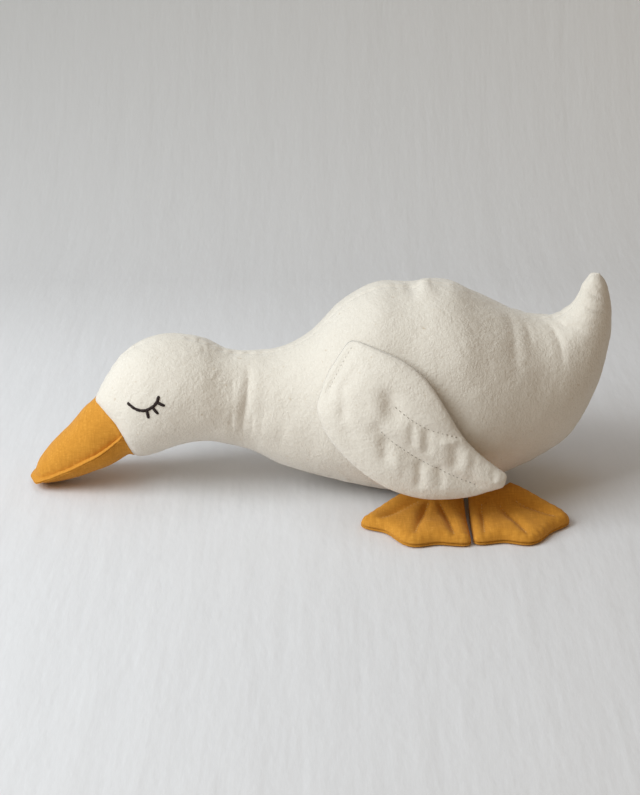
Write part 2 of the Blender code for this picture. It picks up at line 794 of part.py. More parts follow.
def foot(word, side, mustard, wadding):
    """One webbed foot. side is -1 for the foot nearer the head and 1 for the one nearer the tail."""
    divide = -NECK_PLACE + FEET_DIVIDE_SHARE * TORSO_LENGTH
    middle_x = divide + side * ANKLE_OFFSET
    inner_x = middle_x - ANKLE_WIDTH / 2
    outer_x = middle_x + ANKLE_WIDTH / 2
    seam_out = max(ankle(x)[0] for x in (inner_x, middle_x, outer_x)) + GAP
    seam_up = min(ankle(x)[1] for x in (inner_x, middle_x, outer_x)) - GAP
    thin = 2 * CLOTH + GAP
    columns = (len(FOOT_SHARES) - 1) * FOOT_COLUMNS_PER_SHARE
    root_drop = seam_up - thin

    def place(i, j, height):
        turn, reach, root = foot_shares(j / FOOT_COLUMNS_PER_SHARE)
        angle = FOOT_TURN - math.radians(turn)
        share = i / FOOT_ROWS
        root_x = -root * ANKLE_WIDTH / 2
        front_x = reach * FOOT_LENGTH * math.sin(angle)
        front_out = reach * FOOT_LENGTH * math.cos(angle)
        x = root_x + (front_x - root_x) * share
        out = front_out * share
        fall = min(share / FOOT_FLAT_SHARE, 1.0)
        floor = root_drop * (1 - fall) ** 2 * (1 + 2 * fall)
        return np.array((middle_x + side * x, -seam_out - out, floor + height))

    padding = np.zeros((FOOT_ROWS + 1, columns + 1))
    toe_columns = [row * FOOT_COLUMNS_PER_SHARE for row in TOE_LINE_ROWS]
    for i in range(1, FOOT_ROWS):
        for j in range(1, columns):
            ends = math.sin(math.pi * (i / FOOT_ROWS) ** 0.8) ** 0.5
            nearest = min(abs(j - toe) for toe in toe_columns)
            drawn = 0.25 if nearest == 0 else 1.0
            edge = 0.7 if j in (1, columns - 1) else 1.0
            padding[i, j] = PADDING_EDGE + FOOT_PADDING * ends * drawn * edge
    names = [f"{word}_foot_{layer}" for layer in ("top", "sole", "wadding")]
    padded_piece(names, place, padding, (mustard, mustard, wadding))
    spot = np.array((middle_x, -seam_out, seam_up))
    hinge_empty(f"{word}_ankle", spot, names)
    print(word, "ankle at", spot.round(5))


def find_widest():
    """The place of the torso's widest section."""
    stops = np.linspace(TORSO_START, TAIL_START, 200)
    return float(max(stops, key=lambda place: smooth(BODY_ROWS, place)[4]))


TORSO_WIDEST = find_widest()


def build():
    clear_scene()
    cream = material("cream cotton flannel", CREAM, 0.95)
    mustard = material("mustard cotton", MUSTARD, 0.90)
    thread = material("dark brown thread", THREAD, 0.60)
    wadding = material("polyester wadding", WADDING, 1.0)
    floor = floor_cutter()

    side_panels("body", TORSO_START, TAIL_TIP, cream)
    belly_gusset(cream, floor)
    body_stuffing("body_stuffing", TORSO_START, TAIL_START, wadding)
    body_stuffing("tail_stuffing", TAIL_START, TAIL_TIP - 0.5, wadding)

    neck_sleeve(cream)
    body_stuffing("neck_stuffing", HEAD_END, TORSO_START, wadding)

    side_panels("head", 0.0, HEAD_END, cream)
    body_stuffing("head_stuffing", 0.0, HEAD_END, wadding)
    rows = beak_rows()
    beak_shell("upper_beak", rows, 1, mustard)
    cut_flat(beak_shell("lower_beak", rows, -1, mustard), floor)
    beak_stuffing(rows, wadding)
    eye("eye_left", -1, thread)
    eye("eye_right", 1, thread)
    head = ["head_side_left", "head_side_right", "head_stuffing", "upper_beak", "lower_beak"]
    head += ["beak_stuffing", "eye_left", "eye_right"]
    hinge_empty("neck_bend", Section(BODY_ROWS, NECK_MIDDLE).middle, head)

    wing("left", -1, cream, wadding)
    wing("right", 1, cream, wadding)
    foot("front", -1, mustard, wadding)
    foot("rear", 1, mustard, wadding)


build()
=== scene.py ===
import math

import bmesh
import bpy
import numpy as np
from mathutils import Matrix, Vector
from mathutils.bvhtree import BVHTree
from mathutils.geometry import delaunay_2d_cdt


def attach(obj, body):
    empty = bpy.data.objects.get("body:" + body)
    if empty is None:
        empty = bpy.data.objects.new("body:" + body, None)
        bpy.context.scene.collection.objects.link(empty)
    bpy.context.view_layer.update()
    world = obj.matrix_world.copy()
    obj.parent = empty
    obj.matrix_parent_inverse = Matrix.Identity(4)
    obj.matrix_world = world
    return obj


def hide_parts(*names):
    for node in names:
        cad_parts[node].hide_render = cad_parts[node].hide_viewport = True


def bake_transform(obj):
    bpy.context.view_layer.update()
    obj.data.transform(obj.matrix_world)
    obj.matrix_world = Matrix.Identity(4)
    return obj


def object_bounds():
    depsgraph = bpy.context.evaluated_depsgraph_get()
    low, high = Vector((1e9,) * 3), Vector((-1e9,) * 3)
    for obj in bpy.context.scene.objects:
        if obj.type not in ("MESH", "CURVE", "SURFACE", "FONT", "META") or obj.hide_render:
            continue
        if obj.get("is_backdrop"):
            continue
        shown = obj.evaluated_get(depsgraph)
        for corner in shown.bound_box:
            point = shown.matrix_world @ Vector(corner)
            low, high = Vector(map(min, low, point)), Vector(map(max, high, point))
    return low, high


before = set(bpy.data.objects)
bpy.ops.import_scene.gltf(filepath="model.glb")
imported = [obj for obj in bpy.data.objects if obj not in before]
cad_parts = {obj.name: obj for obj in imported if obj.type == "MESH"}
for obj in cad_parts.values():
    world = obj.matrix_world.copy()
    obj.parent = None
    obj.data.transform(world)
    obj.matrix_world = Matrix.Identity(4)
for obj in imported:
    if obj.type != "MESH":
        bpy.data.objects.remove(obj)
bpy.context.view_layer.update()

# Skin
# Brushed cotton flannel, cut as two side panels and a belly panel and stuffed hard with wadding. It is one
# sewn bag from the beak seam over the head, neck and body to the tail tip, closed by hand along the back.

NECK_X = -0.120
HEAD_LENGTH, HEAD_HEIGHT, HEAD_WIDTH = 0.101, 0.107, 0.076
NAPE_HEIGHT, THROAT_HEIGHT, NECK_WIDTH = 0.0943, 0.0272, 0.063
TORSO_LENGTH, TORSO_HEIGHT, TORSO_WIDTH = 0.190, 0.141, 0.130
TAIL_LENGTH, TAIL_HEIGHT, TAIL_WIDTH = 0.0475, 0.148, 0.072
BELLY_SINK = 0.0005
GUSSET_START, GUSSET_END, GUSSET_WIDTH = 8.5, 16.5, 0.074

# Back line along and up, belly line along and up, and the full width, as shares of the sizes above
HEAD_SHARES = (
    (1.018, 0.586, 0.807, 0.213, 0.600),
    (0.934, 0.736, 0.729, 0.201, 0.715),
    (0.838, 0.862, 0.628, 0.231, 0.890),
    (0.697, 0.950, 0.512, 0.272, 0.982),
    (0.505, 0.985, 0.395, 0.308, 1.000),
    (0.313, 0.957, 0.271, 0.320, 0.947),
    (0.153, 0.890, 0.150, 0.299, 0.868),
)
TORSO_SHARES = (
    (0.108, 0.688, 0.088, 0.141, 0.554),
    (0.212, 0.760, 0.195, 0.088, 0.662),
    (0.315, 0.901, 0.302, 0.047, 0.800),
    (0.435, 0.993, 0.427, 0.018, 0.923),
    (0.554, 0.997, 0.570, 0.000, 0.985),
    (0.691, 1.006, 0.714, 0.000, 1.000),
    (0.795, 0.942, 0.813, 0.042, 0.954),
    (0.900, 0.881, 0.918, 0.110, 0.831),
    (0.987, 0.847, 1.020, 0.177, 0.692),
)
TAIL_SHARES = (
    (0.223, 0.812, 0.476, 0.266, 1.000),
    (0.398, 0.849, 0.764, 0.425, 0.750),
    (0.499, 0.897, 0.928, 0.575, 0.556),
    (0.579, 0.962, 1.004, 0.755, 0.375),
    (0.636, 0.999, 0.965, 0.888, 0.260),
    (0.684, 1.012, 0.900, 0.965, 0.175),
    (0.792, 1.017, 0.792, 1.017, 0.000),
)


def loft_rows(shares, start, length, height, width, sink=0.0):
    """Back x and z, belly x and z and half the width of each row."""
    table = np.array(shares)
    back, up, belly, low, wide = table.T
    return np.stack(
        (start + back * length, up * height, start + belly * length, low * height - sink, wide * width / 2), 1
    )


body_rows = np.concatenate(
    (
        loft_rows(HEAD_SHARES, NECK_X, -HEAD_LENGTH, HEAD_HEIGHT, HEAD_WIDTH),
        [(NECK_X, NAPE_HEIGHT, NECK_X, THROAT_HEIGHT, NECK_WIDTH / 2)],
        loft_rows(TORSO_SHARES, NECK_X, TORSO_LENGTH, TORSO_HEIGHT, TORSO_WIDTH, BELLY_SINK),
        loft_rows(TAIL_SHARES, NECK_X + TORSO_LENGTH, TAIL_LENGTH, TAIL_HEIGHT, TAIL_WIDTH),
    )
)
TAIL_TIP = len(body_rows) - 1


def read_rows(rows, places):
    """Rows read at places between whole numbers, on a curve that passes through each row."""
    rows = np.asarray(rows, float)
    places = np.atleast_1d(np.asarray(places, float))
    last = len(rows) - 1
    start = np.clip(places.astype(int), 0, last - 1)
    part = (places - start)[:, None]
    near, far = rows[start], rows[start + 1]
    at_first, at_last = (start == 0)[:, None], (start == last - 1)[:, None]
    lean_in = np.where(at_first, far - near, (far - rows[np.maximum(start - 1, 0)]) / 2)
    lean_out = np.where(at_last, far - near, (rows[np.minimum(start + 2, last)] - near) / 2)
    square, cube = part**2, part**3
    return (
        (2 * cube - 3 * square + 1) * near
        + (cube - 2 * square + part) * lean_in
        + (3 * square - 2 * cube) * far
        + (cube - square) * lean_out
    )


def oval_points(rows, places, turns):
    """Points of the oval sections at matching places and turns. A turn of 0 is the back seam, a quarter
    turn is the -Y side and half a turn is the belly."""
    line = read_rows(rows, places)
    rise = np.cos(turns)
    along = (line[:, 0] + line[:, 2]) / 2 + (line[:, 0] - line[:, 2]) / 2 * rise
    up = (line[:, 1] + line[:, 3]) / 2 + (line[:, 1] - line[:, 3]) / 2 * rise
    across = -np.maximum(line[:, 4], 0) * np.sin(turns)
    return np.stack((along, across, up), 1)


def waves(points, size, seed):
    """Soft unevenness between about -1 and 1, whose lumps are about size across."""
    dice = np.random.default_rng(seed)
    heading = dice.normal(size=(14, 3))
    heading /= np.linalg.norm(heading, axis=1)[:, None]
    heading *= dice.uniform(0.7, 1.5, (14, 1)) * math.pi / size
    return np.sin(points @ heading.T + dice.uniform(0, 2 * math.pi, 14)).sum(1) / math.sqrt(14)


def line_reach(points, line):
    """Each point's distance to a line of straight stretches, and the share of the line at its nearest point."""
    best = np.full(len(points), np.inf)
    where = np.zeros(len(points))
    for k, (start, end) in enumerate(zip(line, line[1:])):
        run = end - start
        share = np.clip((points - start) @ run / max(run @ run, 1e-12), 0, 1)
        reach = np.linalg.norm(points - start - share[:, None] * run, axis=1)
        nearer = reach < best
        best[nearer] = reach[nearer]
        where[nearer] = (k + share[nearer]) / (len(line) - 1)
    return best, where


CREASE = 1.45


def valley(reach, width):
    """1 on a fold line, with the cloth raised a little on both sides of it."""
    return np.exp(-((reach / width) ** CREASE)) - 0.12 * np.exp(-(((reach - 2.1 * width) / (1.1 * width)) ** 2))


def sewn_mesh(name, points, faces):
    """A closed smooth mesh from its points and faces, in an object."""
    mesh = bpy.data.meshes.new(name)
    mesh.from_pydata(np.asarray(points).tolist(), [], faces)
    mesh.shade_smooth()
    made = bpy.data.objects.new(name, mesh)
    bpy.context.scene.collection.objects.link(made)
    return made


def turn_faces_out(piece, merge=0.0):
    """Joins points closer than merge and turns every face outward."""
    bm = bmesh.new()
    bm.from_mesh(piece.data)
    if merge > 0:
        bmesh.ops.remove_doubles(bm, verts=bm.verts, dist=merge)
        bmesh.ops.dissolve_degenerate(bm, edges=bm.edges, dist=merge)
    bmesh.ops.recalc_face_normals(bm, faces=bm.faces)
    bm.to_mesh(piece.data)
    bm.free()
    piece.data.shade_smooth()


def point_array(piece, what="co"):
    """The points of a piece, or with "normals" the outward direction at each."""
    flat = np.empty(len(piece.data.vertices) * 3, np.float32)
    source = piece.data.vertices if what == "co" else piece.data.vertex_normals
    source.foreach_get("co" if what == "co" else "vector", flat)
    return flat.reshape(-1, 3).astype(float)


def place_points(piece, points):
    piece.data.vertices.foreach_set("co", np.asarray(points, np.float32).ravel())
    piece.data.update()


def ring_faces(rings, columns):
    """Faces between rings of points that follow each other, and a fan to one point past each end."""
    faces = []
    for i in range(rings - 1):
        for k in range(columns):
            after = (k + 1) % columns
            low, high = i * columns, (i + 1) * columns
            faces.append((low + k, low + after, high + after, high + k))
    front, back = rings * columns, rings * columns + 1
    for k in range(columns):
        after = (k + 1) % columns
        faces.append((front, after, k))
        faces.append((back, (rings - 1) * columns + k, (rings - 1) * columns + after))
    return faces


SKIN_RINGS, SKIN_COLUMNS = 352, 274
HEM_DEPTH, HEM_WIDTH, SEAM_DRAW = 0.0030, 0.0013, 3.8
MM = 0.001
# The lowest cloth lies this far over the floor
FLOOR_GAP = 0.0004
# Where the rings lie closer together, for finer folds: place, spread and how much closer
CLOSE_RINGS = ((6.85, 0.45, 1.3), (5.10, 0.40, 0.6), (12.30, 0.45, 0.7), (17.00, 1.20, 0.3))
# The seam between head and beak runs round the cheeks behind the first row: its place at every 20 degrees
BEAK_SEAM_PLACES = (0.03, 0.10, 0.35, 0.61, 0.83, 0.95, 0.95, 0.84, 0.68, 0.62)
SEAM_BEND_END = 3.5


def even_places(rows, count):
    """Places whose sections lie at even steps along the loft, and closer where folds need it."""
    fine = np.linspace(0, len(rows) - 1, 1200)
    line = read_rows(rows, fine)
    middle = (line[:, :2] + line[:, 2:4]) / 2
    top = line[:, :2]
    step = (np.linalg.norm(np.diff(middle, axis=0), axis=1) + np.linalg.norm(np.diff(top, axis=0), axis=1)) / 2
    for place, spread, more in CLOSE_RINGS:
        step = step * (1 + more * np.exp(-(((fine[1:] - place) / spread) ** 2)))
    run = np.concatenate(([0], np.cumsum(step)))
    return np.interp(np.linspace(0, run[-1], count), run, fine)


def from_back(turns):
    """The turn from the back line, alike on both sides, up to half a turn at the belly."""
    return np.abs((turns + math.pi) % (2 * math.pi) - math.pi)


def beak_seam_place(turns):
    """The place of the seam between head and beak at each turn."""
    table = np.array(BEAK_SEAM_PLACES)[:, None]
    return read_rows(table, from_back(turns) / math.pi * (len(table) - 1))[:, 0]


def beak_seam_draw(turns):
    """How deep the seam between head and beak is drawn in: most round the cheeks."""
    return SEAM_DRAW * MM * (0.12 + 0.88 * np.sin(from_back(turns)) ** 2)


skin_places = even_places(body_rows, SKIN_RINGS)
plain_turns = np.arange(SKIN_COLUMNS) * 2 * math.pi / SKIN_COLUMNS
skin_turns = plain_turns - 0.45 * np.sin(plain_turns)
grid_places = np.repeat(skin_places, SKIN_COLUMNS)
grid_turns = np.tile(skin_turns, SKIN_RINGS)
bend = np.clip(1 - grid_places / SEAM_BEND_END, 0, 1)
grid_places = grid_places + beak_seam_place(grid_turns) * bend
skin_points = oval_points(body_rows, grid_places, grid_turns)
front_ring = skin_points[:SKIN_COLUMNS]
front_middle = front_ring.mean(0)
beak_way = np.cross(front_ring[0] - front_middle, (0, 1, 0))
beak_way /= np.linalg.norm(beak_way)
ends = np.array((front_middle - beak_way * HEM_DEPTH * 2, skin_points[-1]))
skin = sewn_mesh("skin", np.concatenate((skin_points, ends)), ring_faces(SKIN_RINGS, SKIN_COLUMNS))
turn_faces_out(skin)
skin_outward = point_array(skin, "normals")[: len(skin_points)]

# Folds and pulls in the cloth, each by its places along the skin and turns in degrees, its depth, and its
# widths toward the head and toward the tail, in millimetres. A depth below zero is a raised ridge.
FOLDS = (
    (((6.98, 29), (7.03, 42), (7.00, 56), (6.96, 68), (6.90, 80), (6.84, 92), (6.78, 106)), 1.5, 2.4, 3.0),
    (((7.30, 26), (7.30, 48), (7.26, 70), (7.20, 90), (7.14, 108)), -0.25, 3.2, 7.0),
    (((6.34, 84), (6.33, 96), (6.33, 110)), 0.5, 1.9, 1.1),
    (((6.56, 72), (6.56, 88), (6.55, 104)), -0.10, 1.3, 1.3),
    (((6.62, 42), (6.61, 48), (6.62, 54)), 0.25, 1.0, 0.7),
    (((6.42, 44), (6.37, 54), (6.36, 64)), 0.45, 2.4, 2.0),
    (((7.22, 80), (7.18, 94), (7.14, 110)), 0.65, 2.2, 1.5),
    (((7.60, 70), (7.52, 90), (7.46, 112)), 0.35, 3.0, 2.4),
    (((8.30, 84), (8.22, 98), (8.20, 116)), 0.35, 3.2, 2.8),
    (((5.20, 10), (5.50, 16), (5.85, 24)), 0.5, 4.6, 4.6),
    (((5.10, 6), (5.17, 14), (5.17, 24)), 0.4, 1.8, 1.1),
    (((5.46, 49), (5.62, 41), (5.78, 33)), -0.40, 0.9, 0.8),
    (((5.58, 52), (5.70, 46), (5.80, 40)), 0.35, 0.8, 0.8),
    (((5.78, 54), (5.88, 48), (6.00, 45)), -0.32, 0.8, 0.8),
    (((5.72, 62), (5.82, 56), (5.95, 52)), -0.28, 0.8, 0.8),
    (((5.95, 62), (6.06, 66), (6.10, 72)), 0.30, 1.0, 0.9),
    (((4.60, -5), (4.62, 0), (4.60, 5)), 0.35, 1.6, 1.2),
    (((4.92, -6), (4.95, 0), (4.94, 6)), 0.35, 1.8, 1.2),
    (((4.30, 18), (4.36, 30)), 0.35, 1.2, 1.2),
    (((4.95, 46), (5.06, 56)), 0.30, 1.2, 1.0),
    (((12.00, -9), (12.04, 0), (12.08, 14)), 0.9, 3.4, 2.2),
    (((12.33, -12), (12.33, 0), (12.36, 16)), -1.4, 4.2, 4.8),
    (((12.50, 8), (12.56, 24), (12.50, 44)), -1.3, 18.0, 8.0),
    (((14.95, 6), (14.99, 22), (15.03, 40), (15.05, 58)), 0.8, 4.5, 2.2),
    (((15.34, 18), (15.34, 36), (15.28, 54)), -0.4, 3.6, 4.2),
    (((15.55, 14), (15.62, 24), (15.66, 34)), 0.6, 2.0, 1.6),
    (((16.60, 12), (16.78, 24), (16.98, 42), (16.95, 60)), 1.1, 2.8, 2.0),
    (((17.10, 14), (17.55, 26), (18.05, 38), (18.60, 54)), 1.1, 2.4, 1.8),
    (((17.45, 16), (17.70, 30)), -0.6, 2.4, 2.4),
    (((19.35, 30), (19.60, 55), (20.00, 85), (20.30, 110)), 1.3, 1.6, 1.6),
    (((20.00, 25), (20.30, 55), (20.70, 90), (21.00, 120)), 1.3, 1.5, 1.5),
    (((21.20, 60), (21.25, 100), (21.10, 140)), 0.7, 1.0, 1.0),
    (((13.40, 30), (13.62, 36), (13.95, 38)), 0.35, 1.2, 1.2),
    (((13.10, 44), (13.25, 50), (13.55, 54)), 0.35, 1.2, 1.2),
    (((12.70, 24), (12.95, 30), (13.10, 28)), 0.30, 1.1, 1.1),
)
FAR_SIDE_SHIFT, FAR_SIDE_SHARE = 0.13, 0.8


def fold_line(points, side, shift):
    """The places and the points of a fold's own line on the skin, on one side of the duck."""
    stops = read_rows(points, np.linspace(0, len(points) - 1, 5 * len(points)))
    places = np.clip(stops[:, 0] + shift, 0, TAIL_TIP)
    return places, oval_points(body_rows, places, np.radians(stops[:, 1]) * side)


rise = np.zeros(len(skin_points))
for points, depth, head_width, tail_width in FOLDS:
    for side, shift, share in ((1, 0.0, 1.0), (-1, FAR_SIDE_SHIFT, FAR_SIDE_SHARE)):
        places, line = fold_line(points, side, shift)
        margin = 5 * max(head_width, tail_width) * MM
        close = ((skin_points > line.min(0) - margin) & (skin_points < line.max(0) + margin)).all(1)
        reach, along = line_reach(skin_points[close], line)
        line_places = np.interp(along, np.linspace(0, 1, len(places)), places)
        width = np.where(grid_places[close] > line_places, tail_width, head_width)
        taper = np.sin(math.pi * np.clip(0.06 + 0.88 * along, 0, 1)) ** 0.8
        rise[close] -= share * depth * MM * taper * valley(reach, width * MM)


def gusset_turn(places):
    """The turn of the seam between a side panel and the belly panel, which is half a turn where they end."""
    line = read_rows(body_rows, places)
    along = np.clip((places - GUSSET_START) / (GUSSET_END - GUSSET_START), 0, 1)
    half = np.sin(math.pi * along) ** 0.45 * GUSSET_WIDTH / 2
    return math.pi - np.arcsin(np.clip(half / np.maximum(line[:, 4], 1e-4), 0, 1))


SEAM_DEPTH, SEAM_REACH = 0.65, 1.5
PUCKER_STEP, PUCKER_DEPTH, PUCKER_REACH = 0.0085, 0.28, 4.0
seam_turns = {"back": np.zeros(len(grid_places))}
belly_turn = gusset_turn(grid_places)
seam_turns["left"], seam_turns["right"] = belly_turn, -belly_turn
back_line = oval_points(body_rows, skin_places, np.zeros(SKIN_RINGS))
travel = np.concatenate(([0], np.cumsum(np.linalg.norm(np.diff(back_line, axis=0), axis=1))))
travel = np.repeat(travel, SKIN_COLUMNS)
fade = np.clip((TAIL_TIP - grid_places) / 1.2, 0, 1)
for seam, turns in seam_turns.items():
    reach = np.linalg.norm(skin_points - oval_points(body_rows, grid_places, turns), axis=1)
    uneven = 0.8 + 0.35 * waves(skin_points, 0.05, 3)
    rise -= SEAM_DEPTH * MM * fade * uneven * valley(reach, SEAM_REACH * MM)
    beat = travel / PUCKER_STEP + 0.35 * waves(skin_points, 0.03, 4)
    pull = np.exp(-((reach / (PUCKER_REACH * MM)) ** 2)) * (1 - np.exp(-((reach / MM) ** 2)))
    rise += PUCKER_DEPTH * MM * fade * pull * np.cos(2 * math.pi * beat) * uneven

rise += (0.55 * waves(skin_points, 0.036, 5) + 0.20 * waves(skin_points, 0.013, 6)) * MM * fade
rise += 0.07 * MM * waves(skin_points, 0.0045, 7)
hem = np.linalg.norm(skin_points - np.tile(front_ring, (SKIN_RINGS, 1)), axis=1)
drawn = 0.35 * np.exp(-((hem / HEM_WIDTH) ** 2)) + 0.65 * np.exp(-((hem / (3 * HEM_WIDTH)) ** 2))
line = read_rows(body_rows, grid_places)
inward = np.stack(((line[:, 0] + line[:, 2]) / 2, np.zeros(len(line)), (line[:, 1] + line[:, 3]) / 2), 1) - skin_points
inward /= np.maximum(np.linalg.norm(inward, axis=1), 1e-6)[:, None]
skin_points = skin_points + skin_outward * rise[:, None] + inward * (beak_seam_draw(grid_turns) * drawn)[:, None]
skin_points[:, 2] = np.maximum(skin_points[:, 2], FLOOR_GAP)
place_points(skin, np.concatenate((skin_points, ends)))
turn_faces_out(skin, 1e-6)


class Wire:
    """A socket in a material. Sums, differences and products of wires add their Math nodes."""

    def __init__(self, tree, socket=None):
        self.tree, self.socket = tree, socket

    def node(self, kind, settings=None, values=None, out=0):
        """Adds a node: first its settings, then the values or wires of its sockets."""
        made = self.tree.nodes.new("ShaderNode" + kind)
        for name, value in (settings or {}).items():
            setattr(made, name, value)
        for name, value in (values or {}).items():
            if isinstance(value, Wire):
                self.tree.links.new(value.socket, made.inputs[name])
            else:
                made.inputs[name].default_value = value
        return Wire(self.tree, made.outputs[out])

    def maths(self, operation, first, second, clamp=False):
        return self.node("Math", {"operation": operation, "use_clamp": clamp}, {0: first, 1: second})

    def __add__(self, other):
        return self.maths("ADD", self, other)

    def __radd__(self, other):
        return self.maths("ADD", other, self)

    def __sub__(self, other):
        return self.maths("SUBTRACT", self, other)

    def __rsub__(self, other):
        return self.maths("SUBTRACT", other, self)

    def __mul__(self, other):
        return self.maths("MULTIPLY", self, other)

    def __rmul__(self, other):
        return self.maths("MULTIPLY", other, self)

    def __truediv__(self, other):
        return self.maths("DIVIDE", self, other)

    def limited(self):
        """The same value held between 0 and 1."""
        return self.maths("ADD", self, 0.0, clamp=True)

    def mixed(self, first, second):
        """A colour between two colours by this share."""
        return self.node("Mix", {"data_type": "RGBA"}, {0: self, 6: first, 7: second}, out=2)

    def noise(self, size, detail=2.0, rough=0.5, stretch=(1, 1, 1)):
        """Soft noise whose lumps are about size metres across."""
        place = self.node("TexCoord", out="Object")
        if stretch != (1, 1, 1):
            place = self.node("Mapping", None, {"Vector": place, "Scale": stretch})
        look = {"Vector": place, "Scale": 1 / size, "Detail": detail, "Roughness": rough}
        return self.node("TexNoise", None, look)


def begin_material(name, sheen=0.0, sheen_rough=0.5, specular=0.3):
    """A new material, the start of its wires and its main shader."""
    made = bpy.data.materials.new(name)
    made.use_nodes = True
    shader = made.node_tree.nodes["Principled BSDF"]
    shader.inputs["Sheen Weight"].default_value = sheen
    shader.inputs["Sheen Roughness"].default_value = sheen_rough
    shader.inputs["Specular IOR Level"].default_value = specular
    return made, Wire(made.node_tree), shader


def finish_material(wire, shader, colour, roughness, height, lift):
    """Joins colour, roughness and relief to the shader. lift is the relief's full height in metres."""
    tree = wire.tree
    tree.links.new(colour.socket, shader.inputs["Base Color"])
    tree.links.new(roughness.socket, shader.inputs["Roughness"])
    relief = wire.node("Bump", None, {"Height": height, "Distance": lift, "Strength": 1.0})
    tree.links.new(relief.socket, shader.inputs["Normal"])


def flannel(name):
    """Unbleached cotton flannel: a short brushed nap that felts into small tufts, and darker flecks of seed."""
    made, wire, shader = begin_material(name, sheen=0.35, sheen_rough=0.45, specular=0.2)
    patches = wire.noise(0.045, 2.0)
    nap = wire.noise(0.0017, 3.0, 0.6)
    tufts = wire.noise(0.0040, 2.0, 0.5)
    fibres = wire.noise(0.0009, 2.0, 0.6, (1.0, 1.0, 0.35))
    flecks = wire.noise(0.0028, 1.0)
    colour = patches.mixed((0.800, 0.745, 0.660, 1), (0.765, 0.705, 0.615, 1))
    # Painted shade: the cloth is painted darker where the nap's relief lies low.
    colour = ((nap - 0.42) * 2.2).limited().mixed((0.735, 0.672, 0.580, 1), colour)
    colour = ((flecks - 0.70) * 6).limited().mixed(colour, (0.60, 0.50, 0.38, 1))
    pills = ((wire.noise(0.0021, 1.0) - 0.60) * 5).limited()
    height = nap * 0.45 + tufts * 0.40 + fibres * 0.15 + pills * 0.07
    finish_material(wire, shader, colour, 0.86 + 0.14 * nap, height, 0.0011)
    return made


cream_flannel = flannel("cream_flannel")
skin.data.materials.append(cream_flannel)
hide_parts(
    *("body_side_left", "body_side_right", "belly_gusset", "body_stuffing", "tail_stuffing"),
    *("neck_skin", "neck_stuffing", "head_side_left", "head_side_right", "head_stuffing"),
)
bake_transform(skin)

# Beak
# Mustard plain-weave cotton in an upper and a lower half, seamed along its sides and round the tip with the
# seam pressed out as a narrow lip, stuffed, and sewn into the front of the head.

BEAK_LENGTH, BEAK_TIP_HEIGHT = 0.0660, 0.0060
BEAK_HEIGHT, BEAK_WIDTH = 0.0442, 0.045
SEAM_DROP_SHARE = 0.27
BEAK_SHARES = (
    (0.145, 0.905, 0.199, -1.030, 0.978),
    (0.338, 0.745, 0.377, -0.920, 0.933),
    (0.514, 0.590, 0.546, -0.825, 0.845),
    (0.628, 0.505, 0.664, -0.750, 0.778),
    (0.733, 0.428, 0.780, -0.660, 0.715),
    (0.820, 0.352, 0.870, -0.540, 0.645),
    (0.900, 0.232, 0.950, -0.370, 0.520),
    (1.000, 0.000, 1.000, 0.000, 0.000),
)
beak_base = np.array(((body_rows[0, 0] + body_rows[0, 2]) / 2, 0, (body_rows[0, 1] + body_rows[0, 3]) / 2))
beak_fall = beak_base[2] - BEAK_TIP_HEIGHT
beak_along = np.array((-math.sqrt(BEAK_LENGTH**2 - beak_fall**2), 0, -beak_fall)) / BEAK_LENGTH
beak_up = np.array((beak_along[2], 0, -beak_along[0]))
beak_rows = [body_rows[0]]
for top_along, top, low_along, low, wide in BEAK_SHARES:
    high = beak_base + beak_along * top_along * BEAK_LENGTH + beak_up * top * BEAK_HEIGHT / 2
    under = beak_base + beak_along * low_along * BEAK_LENGTH + beak_up * low * BEAK_HEIGHT / 2
    beak_rows.append((high[0], high[2], under[0], under[2], wide * BEAK_WIDTH / 2))
beak_rows = np.array(beak_rows)
BEAK_TIP = len(beak_rows) - 1

BEAK_RINGS, SEAM_RINGS, SEAM_LIFT = 96, 16, math.radians(3)
LIP_STEPS = (0.0, 0.22, 0.45, 0.75, 0.95, 1.15, 1.4, 1.7, 2.1, 2.7)
ARC_STEPS, EASE_RINGS = 44, 12
# What makes a row of the loft into the middle of its section
ROW_MIDDLE = np.array(((0.5, 0, 0), (0, 0, 0.5), (0.5, 0, 0), (0, 0, 0.5), (0, 0, 0)))
LIP_REACH, LIP_HALF = 3.6, 0.70
tip_ward = np.linspace(0, 1, BEAK_RINGS)
beak_places = BEAK_TIP * (1 - (1 - tip_ward) ** 1.5)
beak_line = read_rows(beak_rows, beak_places)
half_height = np.maximum(np.hypot(beak_line[:, 0] - beak_line[:, 2], beak_line[:, 1] - beak_line[:, 3]) / 2, 1e-5)
seam_rise = -np.arcsin(SEAM_DROP_SHARE) * (1 - beak_places / BEAK_TIP)


def half_ring(start, room):
    """Turns from one side seam over one half of the beak to the other, close together at the lips."""
    span = math.pi - 2 * start
    steps = np.array(LIP_STEPS) * MM / room
    steps *= min(1.0, 0.45 * span / steps[-1])
    middle = np.linspace(steps[-1], span - steps[-1], ARC_STEPS)[1:-1]
    return np.concatenate((steps, middle, (span - steps)[::-1])) + start


def ring_turns(start, room):
    """Turns of one whole ring of the beak, whose two side seams lie at start."""
    above, below = half_ring(start, room), half_ring(-start, room)
    return np.concatenate((above, -below[::-1][1:-1]))


